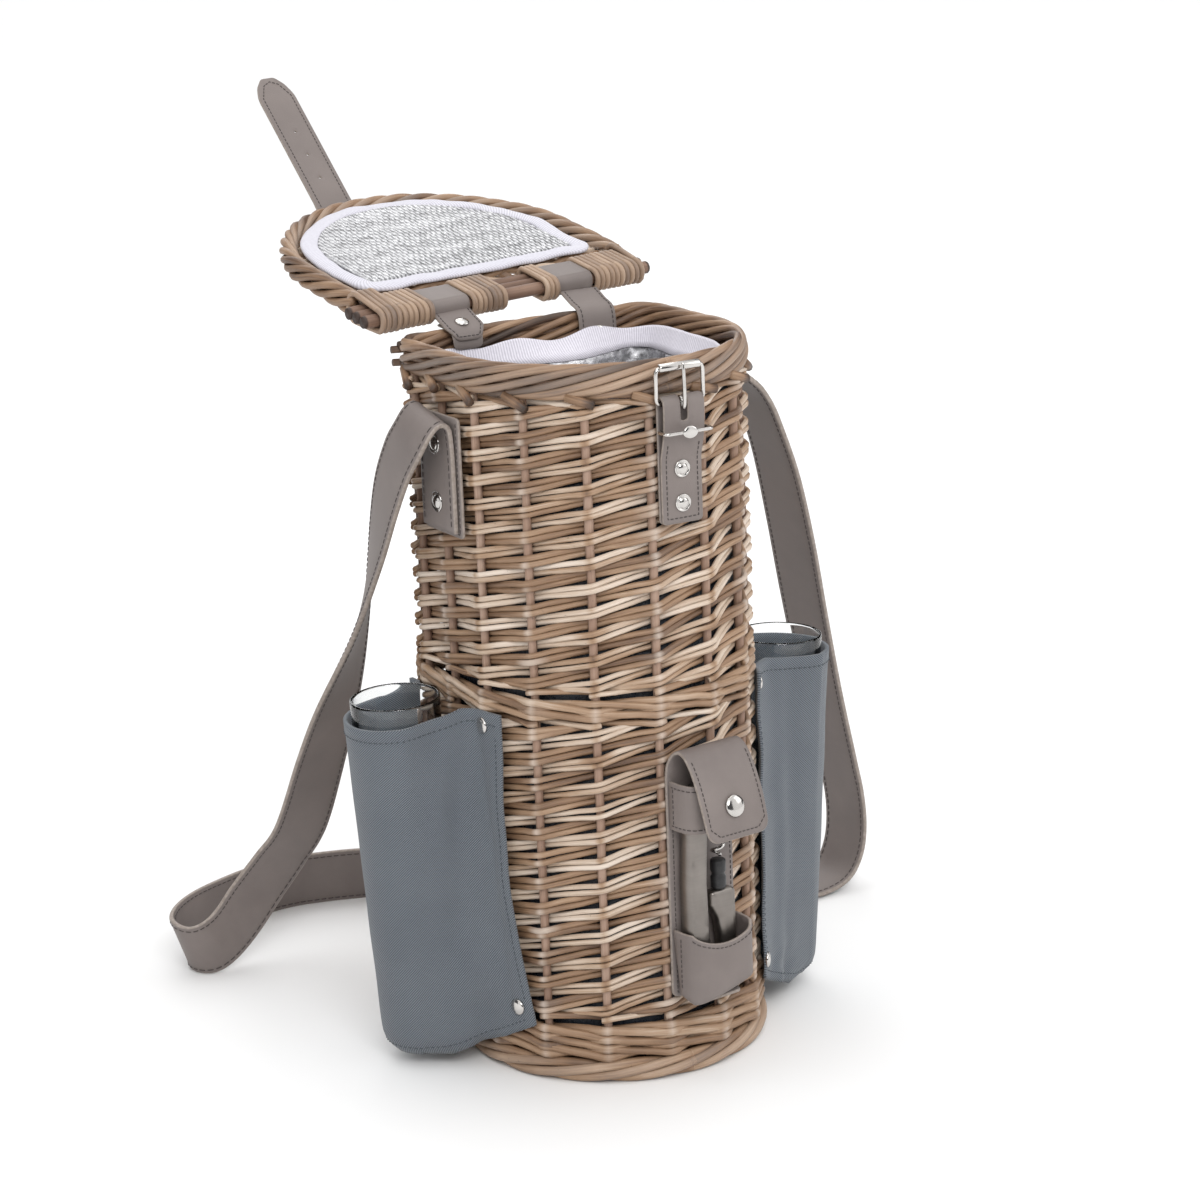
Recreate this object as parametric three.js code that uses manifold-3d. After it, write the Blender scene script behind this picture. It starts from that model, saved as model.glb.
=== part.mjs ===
// Wicker bottle carrier: a D-shaped woven basket with a hinged lid, a shoulder strap, a buckle,
// a corkscrew in its holder and two glasses in side pockets.
// Millimetres, +Z up. The origin is the middle of the base on the floor, the buckle faces -Y.
import * as THREE from "three";
import { mergeVertices } from "three/addons/utils/BufferGeometryUtils.js";
import Module from "manifold-3d";

const wasm = await Module();
wasm.setup();

// Driving dimensions of the basket
const BASKET_WIDTH = 170;
const BASKET_DEPTH = 160;
const RIM_HEIGHT = 402;
const WALL = 10;
const BACK_CORNER = 14; // outer radius of the two back corners
const INNER_CORNER = 24; // inner radius there, which leaves room for the corner posts
const GAP = 0.3; // between pieces that touch

// Heights of the woven bands
const FOOT_TOP = 13;
const UPSETT_TOP = 35;
const LOWER_TOP = 207;
const MID_TOP = 221;
const BORDER_HEIGHT = 20;
const FOOT_PROUD = 2;
const UPSETT_PROUD = 1.5;
const BORDER_PROUD = 1;
const FOOT_ROD = 3.8; // thickness of the foot border in plan

// Stakes and corner posts
const STAKE_R = 2.6;
const STAKE_STEP = 24.27; // degrees round the front from one stake to the next
const FIRST_STAKE_TURN = 9.44; // degrees from the front middle towards -X
const LAST_STAKE_TURN = 126.73; // nearest that a stake comes to the left corner post
const POST_R = 5.5;
const POST_INSET = 11.5; // middle of a corner post from the side and the back
const HOOP_THICK = 5.8;

// Liner
const LINER_WALL = 2.5;
const LINER_SLACK = 0.4;
const LINER_FLOOR = 3;
const COLLAR_HEIGHT = 21;
const COLLAR_DROP = 1; // below the rim

// Lid, in its closed place on the rim
const LID_OVERHANG = 9;
const LID_SHIFT = 3; // the worn lid sits this far to +X
const LID_SET_BACK = 3; // and its round front this far back
const LID_HOOP = 16; // height of the lid's rim
const LID_HOOP_WIDTH = 11;
const LID_PLATE = 7;
const LID_REST = 1.6; // the lid lies this far above the rim, on its leather hinges
const LID_OPEN = 169; // degrees
const LID_SKEW = 2.3; // degrees that the worn hinge line is turned in plan
const LID_ROLL = 0.7; // degrees that its right end is higher
const HINGE_BEHIND = 8; // the hinge line behind the back of the basket
const HINGE_INSET = 43; // middle of a leather hinge from the side of the basket
const BAR_R = 3.7;
const WRAP = 3.5; // thickness of the weaver wrapped round the bars
const PAD_THICK = 4;
const PAD_SUNK = 0.5; // how far the quilt lies below its binding
const PAD_INSET = 15; // from the edge of the lid
const PAD_CLEAR = 3.3; // from the wrapped bars
const BINDING_WIDTH = 8;

// Leather
const LEATHER = 1.8;
const SHANK_R = 1.6; // of every rivet
const SHANK = 6; // how far a shank reaches into the wall
const HINGE_WIDTH = 24;
const HINGE_DROP = 21; // how far the right hinge hangs inside the rim
const STUD_R = 4.15;
const STUD_SHANK = 6;
const LOOP_ROOM = HINGE_WIDTH / 2 + 0.6; // half of the space a leather hinge is given along X

// Closing strap
const CLOSING_WIDTH = 25;
const CLOSING_THICK = 2.2;
const CLOSING_LENGTH = 114;
const CLOSING_X = -4; // the strap is riveted on off the middle
const CLOSING_POINT = 15;
const CLOSING_BEND = 35; // degrees below the lid's plane
const CLOSING_HOLE_R = 2.5;
const CLOSING_HOLES = [43, 61, 79]; // from the pointed end
const CLOSING_BASE = 19;

// Buckle tab on the front
const TAB_WIDTH = 25;
const BAR_DROP = 23; // the buckle's bar below the rim
const TAB_BELOW_BAR = 65; // the tab's end
const PINCH_BELOW_BAR = 29; // where the tab's two layers part
const TAB_RIVETS_BELOW_PINCH = [25, 6.5];
const TAB_RIVET_R = 5.75;
const BUCKLE_WIRE = 3.2;
const BUCKLE_REACH = 19; // bar to roller
const ROLLER_WALL = 0.65;
const PRONG_WIDTH = 3.2;
const FOLD_ROOM = 0.8; // between the two layers of the tab
const PRONG_SLOT = 9; // how far the slit for the prong runs below the bar
const KEEPER_WIRE = 2;
const KEEPER_BELOW_BAR = 14.5;

// Shoulder strap
const STRAP_WIDTH = 36;
const STRAP_THICK = 3;
const STRAP_BEHIND = 15; // middle of the strap's anchors behind the centre of the round front
const ANCHOR_DROP = 40; // top of the strap's anchors below the rim
const ANCHOR_LENGTH = 57;
const STRAP_RIVETS_BELOW_TOP = [42, 10]; // down from the top of the anchors
const STRAP_RIVET_R = 6.2;
const HANGING_TOP = 362; // the anchors' top for which the hanging rows are measured
const PATCH_THICK = 2;
const PATCH_MARGIN = 3;

// Glass pockets
const GLASS_TOP_R = 25;
const GLASS_BASE_R = 19;
const GLASS_WALL = 1.8;
const GLASS_FLOOR = 6;
const GLASS_SHOWS = 5; // height of glass above the pocket
const POCKET_LOW = 8;
const POCKET_HIGH = 208;
const POCKET_WALL = 2;
const POCKET_SLACK = 2.2; // between glass and cloth
const POCKET_OUT = 25.6; // middle of a pocket's foot from the side of the basket
const POCKET_LEAN = 2; // degrees outwards
const POCKET_BEHIND = { left: 25, right: 0 }; // middles of the pockets behind that centre
const FLANGE_LOW = 36;
const FLANGE_FLARE_TOP = 62;
const FLANGE_RUNS = [33, 57, 69]; // along the wall from the pocket's middle: start, front edge, lower corner
const FLANGE_BACK_RUNS = [26, 40]; // the same for the flange behind
const POCKET_RIVETS = [41, 200];
const POCKET_SHANK = 1.3; // into the wall, short of the stakes
const POCKET_RIVET_RUNS = [58, 39]; // along the wall from the pocket's middle
const POCKET_RIVET_R = 4.7;

// Corkscrew and its holder
const HOLDER_TURN = 5.5; // degrees round the front from the middle
const HOLDER_WIDTH = 44;
const HOLDER_LOW = 48;
const HOLDER_HIGH = 182;
const HOLDER_LEATHER = 2.2;
const HOLDER_DEPTH = 20; // band and pocket, from the wall
const HOLDER_POCKET = 40; // height of its bottom pocket
const BAND_DROP = 9; // below the top of the holder's back
const BAND_WIDTH = 27;
const FLAP_WIDTH = 42;
const FLAP_CORNER = 8;
const FLAP_CREST_OUT = 8; // the line the flap turns about, from its root
const FLAP_CREST_UP = 7.3; // and above the holder's back
const FLAP_LINE = [[13, 1.6], [20, 11], [27, 27], [32.5, 45]]; // out from its root and down from its crest
const SNAP_BELOW_CREST = 28.3;
const SNAP_R = 5.5;
const TOOL_DROP = 11; // top of the corkscrew below the top of the holder's back
const TOOL_DEPTH = 12;
const HUB_X = 4;
const HUB_R = 4.4;
const HUB_LENGTH = 17;
const WORM_R = 3.2;
const WORM_WIRE = 1.1;
const WORM_PITCH = 8;
const WORM_TURNS = 5;
const LEVER_TOP = 0.477; // share of the tool's length above its foot
// Outlines of the tool's handle and lever: across, then the share of its length above the foot
const HANDLE_LINE = [
  [-15, 0],
  [14, 0],
  [14, 0.041],
  [-3.5, 0.041],
  [-6.5, 0.286],
  [-7.5, 0.535],
  [-6, 0.826],
  [-3, 0.975],
  [-8, 1],
  [-14, 0.975],
  [-17.5, 0.826],
  [-19, 0.535],
  [-18.5, 0.245],
];
const LEVER_LINE = [
  [3, 0.044],
  [13.5, 0.044],
  [13, LEVER_TOP],
  [-4, LEVER_TOP],
  [-4, 0.411],
  [0.5, 0.344],
  [2.5, 0.245],
];

// Values that follow from the driving dimensions
const rad = THREE.MathUtils.degToRad;
const FRONT_R = BASKET_WIDTH / 2;
const BACK_Y = BASKET_DEPTH / 2;
const FRONT_Y = FRONT_R - BACK_Y; // centre of the half-round front
const STAKE_SPACING = rad(STAKE_STEP) * FRONT_R; // along the outer face
const FIRST_STAKE = rad(FIRST_STAKE_TURN) * FRONT_R;
const LAST_STAKE = rad(LAST_STAKE_TURN) * FRONT_R;
const HINGE_X = FRONT_R - HINGE_INSET;
const HINGE_Y = BACK_Y + HINGE_BEHIND;
const STRAP_Y = FRONT_Y + STRAP_BEHIND;
const POCKET_Y = { left: FRONT_Y + POCKET_BEHIND.left, right: FRONT_Y + POCKET_BEHIND.right };
const POCKET_BASE_X = FRONT_R + POCKET_OUT;
const BORDER_LOW = RIM_HEIGHT - BORDER_HEIGHT;
const BAR_HEIGHT = RIM_HEIGHT - BAR_DROP;
const TAB_BOTTOM = BAR_HEIGHT - TAB_BELOW_BAR;
const TAB_PINCH = BAR_HEIGHT - PINCH_BELOW_BAR;
const KEEPER_HEIGHT = BAR_HEIGHT - KEEPER_BELOW_BAR;
const ANCHOR_TOP = RIM_HEIGHT - ANCHOR_DROP;
const ANCHOR_LOW = ANCHOR_TOP - ANCHOR_LENGTH;
const HOLDER_POCKET_HIGH = HOLDER_LOW + HOLDER_POCKET;
const BAND_HIGH = HOLDER_HIGH - BAND_DROP;
const BAND_LOW = BAND_HIGH - BAND_WIDTH;
const LID_Z = RIM_HEIGHT + LID_REST + LID_HOOP / 2;
const BAR_PITCH = 2 * BAR_R + GAP;
const BARS_HALF = BAR_PITCH + BAR_R;
const BARS_Y = HINGE_Y - GAP - LEATHER - BARS_HALF + 1;
const WRAP_FRONT = BARS_Y - BARS_HALF - GAP - WRAP;
const PAD_BACK = WRAP_FRONT - PAD_CLEAR;
const LID_R = FRONT_R + LID_OVERHANG;
const BAR_LENGTH = 2 * LID_R;
const PAD_HALF_WIDTH = LID_R - PAD_INSET;
const LID_CENTRE = FRONT_Y + LID_SET_BACK; // centre of the lid's round front
const HEX = 6;
const ROUND = 20;

const X = new THREE.Vector3(1, 0, 0);
const Y = new THREE.Vector3(0, 1, 0);
const Z = new THREE.Vector3(0, 0, 1);

// Materials
function material(color, roughness, metalness = 0) {
  return new THREE.MeshStandardMaterial({ color, roughness, metalness });
}
const paleWicker = material(0xc9b196, 0.75);
const brownWicker = material(0xa07c5d, 0.8);
const darkWicker = material(0x6f4a37, 0.85);
const leather = material(0x8c807b, 0.6);
const canvas = material(0x5c666e, 0.85);
const lining = material(0xd9d6dd, 0.8);
const foil = material(0xc4c6c9, 0.3, 0.6);
const nickel = material(0xc9c7c4, 0.25, 1);
const toolSteel = material(0xa39b94, 0.35, 0.9);
const blackPlastic = material(0x1b1b1c, 0.5);
const clearGlass = new THREE.MeshStandardMaterial({
  color: 0xf2f6f7,
  roughness: 0.05,
  transparent: true,
  opacity: 0.35,
});

// Solids: joining and cutting
function solidOf(geometry) {
  const bare = geometry.clone();
  bare.deleteAttribute("normal");
  bare.deleteAttribute("uv");
  const merged = mergeVertices(bare, 1e-4);
  return new wasm.Manifold(
    new wasm.Mesh({
      numProp: 3,
      vertProperties: merged.attributes.position.array,
      triVerts: new Uint32Array(merged.index.array),
    }),
  );
}

function geometryOf(solid) {
  const mesh = solid.getMesh();
  const geometry = new THREE.BufferGeometry();
  const positions = new THREE.BufferAttribute(mesh.vertProperties, 3);
  geometry.setAttribute("position", positions);
  geometry.setIndex(new THREE.BufferAttribute(mesh.triVerts, 1));
  geometry.computeVertexNormals();
  return geometry;
}

function join(first, ...others) {
  return geometryOf(others.reduce((sum, g) => sum.add(solidOf(g)), solidOf(first)));
}

function cut(body, ...tools) {
  return geometryOf(tools.reduce((rest, g) => rest.subtract(solidOf(g)), solidOf(body)));
}

function meet(first, second) {
  return geometryOf(solidOf(first).intersect(solidOf(second)));
}

// The same solid on the other side of the YZ plane
function mirrored(geometry) {
  const copy = geometry.index ? geometry.toNonIndexed() : geometry.clone();
  copy.scale(-1, 1, 1);
  const position = copy.attributes.position;
  const corner = new THREE.Vector3();
  const other = new THREE.Vector3();
  for (let i = 0; i < position.count; i += 3) {
    corner.fromBufferAttribute(position, i + 1);
    other.fromBufferAttribute(position, i + 2);
    position.setXYZ(i + 1, ...other.toArray());
    position.setXYZ(i + 2, ...corner.toArray());
  }
  copy.computeVertexNormals();
  return copy;
}

// Plane outlines
function point(x, y) {
  return new THREE.Vector2(x, y);
}

function arc(cx, cy, r, from, to, steps) {
  return Array.from({ length: steps + 1 }, (_, i) => {
    const angle = from + ((to - from) * i) / steps;
    return point(cx + r * Math.cos(angle), cy + r * Math.sin(angle));
  });
}

function rectangle(x0, y0, x1, y1) {
  return [point(x0, y0), point(x1, y0), point(x1, y1), point(x0, y1)];
}

function roundedRectangle(x0, y0, x1, y1, r, steps = 3) {
  return [
    ...arc(x1 - r, y0 + r, r, -Math.PI / 2, 0, steps),
    ...arc(x1 - r, y1 - r, r, 0, Math.PI / 2, steps),
    ...arc(x0 + r, y1 - r, r, Math.PI / 2, Math.PI, steps),
    ...arc(x0 + r, y0 + r, r, Math.PI, Math.PI * 1.5, steps),
  ];
}

// A D: half-round front of the given radius, straight sides, and a back with round corners
function dPlan(radius, back, corner, steps = ROUND) {
  return [
    ...arc(radius - corner, back - corner, corner, 0, Math.PI / 2, 4),
    ...arc(corner - radius, back - corner, corner, Math.PI / 2, Math.PI, 4),
    ...arc(0, FRONT_Y, radius, Math.PI, 2 * Math.PI, steps),
  ];
}

// The basket's own D, moved outwards (positive) or inwards (negative) from its outer face
function wallPlan(offset) {
  const inside = offset <= -WALL;
  const corner = inside ? INNER_CORNER + WALL + offset : BACK_CORNER + offset;
  return dPlan(FRONT_R + offset, BACK_Y + offset, corner);
}

// A strip of even thickness along a bent line, as a closed outline
function strip(line, thickness) {
  const left = [];
  const right = [];
  line.forEach((p, i) => {
    const before = line[Math.max(i - 1, 0)];
    const after = line[Math.min(i + 1, line.length - 1)];
    const a = i > 0 ? p.clone().sub(before).normalize() : after.clone().sub(p).normalize();
    const b = i < line.length - 1 ? after.clone().sub(p).normalize() : a.clone();
    const along = a.clone().add(b).normalize();
    const reach = thickness / 2 / Math.max(along.dot(a), 0.5);
    const side = point(-along.y, along.x).multiplyScalar(reach);
    left.push(p.clone().add(side));
    right.push(p.clone().sub(side));
  });
  const outline = [...right, ...left.reverse()];
  return THREE.ShapeUtils.area(outline) < 0 ? outline.reverse() : outline;
}

// Plates and prisms
function flatSolid(points, depth, holes = []) {
  const shape = new THREE.Shape(points);
  holes.forEach((hole) => shape.holes.push(new THREE.Path(hole)));
  return new THREE.ExtrudeGeometry(shape, { depth, bevelEnabled: false });
}

// Outline in X and Y, standing from z0 to z1
function prism(points, z0, z1, holes = []) {
  return flatSolid(points, z1 - z0, holes).translate(0, 0, z0);
}

// Outline in Y and Z, running along X from x0 to x1
function sideProfile(points, x0, x1, holes = []) {
  const turn = new THREE.Matrix4().makeBasis(Y, Z, X);
  return flatSolid(points, x1 - x0, holes).applyMatrix4(turn).translate(x0, 0, 0);
}

// Outline in X and Z, running from y0 forwards to y1
function frontPlate(points, y0, y1, holes = []) {
  const turn = new THREE.Matrix4().makeBasis(X, Z, Y.clone().negate());
  return flatSolid(points, y0 - y1, holes).applyMatrix4(turn).translate(0, y0, 0);
}

function box(x0, x1, y0, y1, z0, z1) {
  return prism(rectangle(x0, y0, x1, y1), z0, z1);
}

// An upright round post or frustum
function upright(x, y, rLow, rHigh, z0, z1, sides = ROUND) {
  const post = new THREE.CylinderGeometry(rHigh, rLow, z1 - z0, sides);
  return post.rotateX(Math.PI / 2).translate(x, y, (z0 + z1) / 2);
}

// A round rod along X
function crossRod(y, z, r, x0, x1, sides = 10) {
  const rod = new THREE.CylinderGeometry(r, r, x1 - x0, sides);
  return rod.rotateZ(Math.PI / 2).translate((x0 + x1) / 2, y, z);
}

// Places a piece made along +Y so that +Y points along the given direction
function aimed(geometry, at, direction) {
  const turn = new THREE.Quaternion().setFromUnitVectors(Y, direction.clone().normalize());
  return geometry.applyQuaternion(turn).translate(at.x, at.y, at.z);
}

// Rivets: a domed head outside, a shank inwards
function rivet(at, direction, headR, headH, shankL) {
  const profile = [
    point(0, -shankL),
    point(SHANK_R, -shankL),
    point(SHANK_R, 0),
    point(headR, 0),
    point(headR * 0.96, headH * 0.35),
    point(headR * 0.72, headH * 0.8),
    point(0, headH),
  ];
  return aimed(new THREE.LatheGeometry(profile, 12), at, direction);
}

function rivetHole(at, direction, shankL) {
  const hole = new THREE.CylinderGeometry(SHANK_R + GAP, SHANK_R + GAP, 2 * shankL, 8);
  return aimed(hole, at, direction);
}

// The scene graph
const carrier = new THREE.Group();

function add(name, geometry, look, parent = carrier) {
  const mesh = new THREE.Mesh(geometry, look);
  mesh.name = name;
  parent.add(mesh);
  return mesh;
}

// Where the stakes stand, in the middle of the wall
function stakePlaces() {
  const quarter = (Math.PI / 2) * FRONT_R;
  const middle = FRONT_R - WALL / 2;
  const places = [];
  for (let k = -5; k <= 5; k += 1) {
    const run = Math.max(k * STAKE_SPACING - FIRST_STAKE, -LAST_STAKE);
    const angle = Math.max(-quarter, Math.min(quarter, run)) / FRONT_R;
    const past = Math.max(Math.abs(run) - quarter, 0);
    places.push(point(middle * Math.sin(angle), FRONT_Y - middle * Math.cos(angle) + past));
  }
  for (const x of [-STAKE_SPACING, 0, STAKE_SPACING]) {
    places.push(point(x, BACK_Y - WALL / 2));
  }
  return places;
}
const stakes = stakePlaces();
const postX = FRONT_R - POST_INSET;
const postY = BACK_Y - POST_INSET;

function channels(z0, z1) {
  const room = (STAKE_R + GAP / Math.cos(Math.PI / HEX)) * 1.001;
  const tools = stakes.map((s) => upright(s.x, s.y, room, room, z0 - 1, z1 + 1, HEX));
  for (const x of [-postX, postX]) {
    tools.push(upright(x, postY, POST_R + GAP * 1.1, POST_R + GAP * 1.1, z0 - 1, z1 + 1, 12));
  }
  return tools;
}

// Basket wall: one ring for each kind of weave, with a channel for each stake and post
function wallRing(z0, z1, proud, holes = []) {
  const ring = prism(wallPlan(proud), z0, z1, [wallPlan(-WALL)]);
  return cut(ring, ...channels(z0, z1), ...holes);
}

// The faces where leather and cloth are riveted to the wall
const frontFace = FRONT_Y - FRONT_R;
const tabThick = 2 * LEATHER + FOLD_ROOM;
const tabFace = frontFace - GAP - tabThick;
const patchX = FRONT_R + GAP + PATCH_THICK;
const strapX = patchX + GAP + STRAP_THICK / 2;
const strapFaceX = strapX + STRAP_THICK / 2;

// A place on the left half of the round front, so far along the wall from a pocket's middle
function onWall(name, run, r) {
  const angle = (run - (POCKET_Y[name] - FRONT_Y)) / FRONT_R;
  return point(-r * Math.cos(angle), FRONT_Y - r * Math.sin(angle));
}
const forward = Y.clone().negate();
const tabRivets = TAB_RIVETS_BELOW_PINCH.map((below) => ({
  at: new THREE.Vector3(0, tabFace - GAP, TAB_PINCH - below),
  out: forward,
  shank: tabThick + SHANK,
}));
const strapRivets = [-1, 1].map((side) =>
  STRAP_RIVETS_BELOW_TOP.map((below) => ({
    at: new THREE.Vector3(side * (strapFaceX + GAP), STRAP_Y, ANCHOR_TOP - below),
    out: X.clone().multiplyScalar(side),
    shank: strapFaceX - FRONT_R + SHANK,
  })),
);
const flangeFace = FRONT_R + GAP + POCKET_WALL;
const pocketRivets = ["left", "right"].map((name) =>
  POCKET_RIVETS.map((z, i) => {
    const seat = onWall(name, POCKET_RIVET_RUNS[i], flangeFace + GAP);
    const out = onWall(name, POCKET_RIVET_RUNS[i], 1);
    const side = name === "left" ? 1 : -1;
    return {
      at: new THREE.Vector3(side * seat.x, seat.y, z),
      out: new THREE.Vector3(side * out.x, out.y - FRONT_Y, 0),
      shank: POCKET_WALL + 2 * GAP + POCKET_SHANK,
    };
  }),
);
const holesFor = (list) => list.map((r) => rivetHole(r.at, r.out, r.shank + GAP));

function buildBasket() {
  const hoopOut = -(FOOT_ROD - FOOT_PROUD) - GAP;
  const hoopIn = hoopOut - HOOP_THICK;
  add("base_mat", prism(wallPlan(hoopIn - GAP), 0, FOOT_TOP), brownWicker);
  const foot = prism(wallPlan(FOOT_PROUD), 0, FOOT_TOP, [wallPlan(FOOT_PROUD - FOOT_ROD)]);
  add("foot_border", foot, brownWicker);

  const hoop = prism(wallPlan(hoopOut), 1, FOOT_TOP, [wallPlan(hoopIn)]);
  const uprights = stakes.map((s) =>
    upright(s.x, s.y, STAKE_R, STAKE_R, FOOT_TOP - 2, BORDER_LOW - GAP, HEX),
  );
  add("stake_frame", join(hoop, ...uprights), darkWicker);

  for (const [name, x] of [["corner_post_left", -postX], ["corner_post_right", postX]]) {
    const post = upright(x, postY, POST_R, POST_R, FOOT_TOP + GAP, BORDER_LOW - GAP, 12);
    add(name, post, darkWicker);
  }

  const wallRivets = pocketRivets.flat();
  const topRivets = [...tabRivets, ...strapRivets.flat()];
  add("upsett_waling", wallRing(FOOT_TOP + GAP, UPSETT_TOP, UPSETT_PROUD), brownWicker);
  add("lower_weave", wallRing(UPSETT_TOP + GAP, LOWER_TOP - GAP, 0, holesFor(wallRivets)), paleWicker);
  add("mid_waling", wallRing(LOWER_TOP, MID_TOP, 0), brownWicker);
  add("upper_weave", wallRing(MID_TOP + GAP, BORDER_LOW - GAP, 0, holesFor(topRivets)), paleWicker);
}

// Leather hinges: an anchor on the rim and a loop round the lid's bars
const anchorLow = RIM_HEIGHT + GAP;
const anchorHigh = anchorLow + LEATHER;
const insideRim = BACK_Y - WALL;
const anchorEnd = HINGE_Y + 0.2;
const studY = insideRim + 5;
const tabEnd = insideRim + 0.5;
const dropX = insideRim - 3 * GAP; // clear of the round corner
const dropLow = RIM_HEIGHT - HINGE_DROP;
const studSeats = {
  left: { at: new THREE.Vector3(-HINGE_X, studY, anchorHigh + GAP), out: Z, head: 1.2 },
  right: { at: new THREE.Vector3(HINGE_X, dropX - LEATHER - GAP, dropLow + 8), out: forward, head: 1.5 },
};

function buildRim() {
  const ring = prism(wallPlan(BORDER_PROUD), BORDER_LOW, RIM_HEIGHT, [wallPlan(-WALL)]);
  const studHoles = Object.values(studSeats).map((s) => rivetHole(s.at, s.out, STUD_SHANK + 2 * GAP));
  add("top_border", cut(ring, ...studHoles), brownWicker);

  const half = HINGE_WIDTH / 2;
  const rounded = roundedRectangle(-HINGE_X - half, tabEnd, -HINGE_X + half, anchorEnd + 20, 7);
  const square = box(-HINGE_X - half, -HINGE_X + half, tabEnd, anchorEnd, anchorLow, anchorHigh);
  const leftAnchor = meet(square, prism(rounded, anchorLow - 1, anchorHigh + 1));
  add("hinge_anchor_left", cut(leftAnchor, studHoles[0]), leather);

  const bend = [
    point(anchorEnd, anchorLow + LEATHER / 2),
    point(dropX - LEATHER / 2, anchorLow + LEATHER / 2),
    point(dropX - LEATHER / 2, dropLow),
  ];
  const rightAnchor = sideProfile(strip(bend, LEATHER), HINGE_X - half, HINGE_X + half);
  add("hinge_anchor_right", cut(rightAnchor, studHoles[1]), leather);
  for (const [side, seat] of Object.entries(studSeats)) {
    add(`hinge_stud_${side}`, rivet(seat.at, seat.out, STUD_R, seat.head, STUD_SHANK), nickel);
  }
}

function buildLiner() {
  const outside = -WALL - LINER_SLACK;
  const inside = outside - LINER_WALL;
  const collarLow = RIM_HEIGHT - COLLAR_DROP - COLLAR_HEIGHT;
  const low = FOOT_TOP + GAP;
  const bag = prism(wallPlan(outside), low, collarLow - GAP);
  const room = prism(wallPlan(inside), low + LINER_FLOOR, collarLow);
  add("liner_bag", cut(bag, room), foil);
  const collar = prism(wallPlan(outside), collarLow, RIM_HEIGHT - COLLAR_DROP, [wallPlan(inside)]);
  const notch = box(HINGE_X - LOOP_ROOM, HINGE_X + LOOP_ROOM, 0, BACK_Y, collarLow - 1, RIM_HEIGHT);
  add("liner_collar", cut(collar, notch), lining);
}

// The lid turns about a line through the leather between rim and bars
const rise = Math.tan(rad(LID_ROLL));
const hingeLine = new THREE.Vector3(Math.cos(rad(LID_SKEW)), Math.sin(rad(LID_SKEW)), rise);
hingeLine.normalize();
const hingePoint = new THREE.Vector3(0, HINGE_Y, LID_Z);

// A group whose contents are drawn in the closed pose and shown turned back about the hinge
function openedLid() {
  const outer = new THREE.Group();
  const inner = new THREE.Group();
  outer.position.copy(hingePoint);
  outer.quaternion.setFromAxisAngle(hingeLine, -rad(LID_OPEN));
  inner.position.copy(hingePoint).negate();
  outer.add(inner);
  carrier.add(outer);
  return inner;
}

// The lid's own D, in its closed place
function lidPlan(radius, back, corner, shift = LID_SHIFT) {
  const plan = dPlan(radius, back - LID_SET_BACK, corner);
  return plan.map((p) => point(p.x + shift, p.y + LID_SET_BACK));
}

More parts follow.
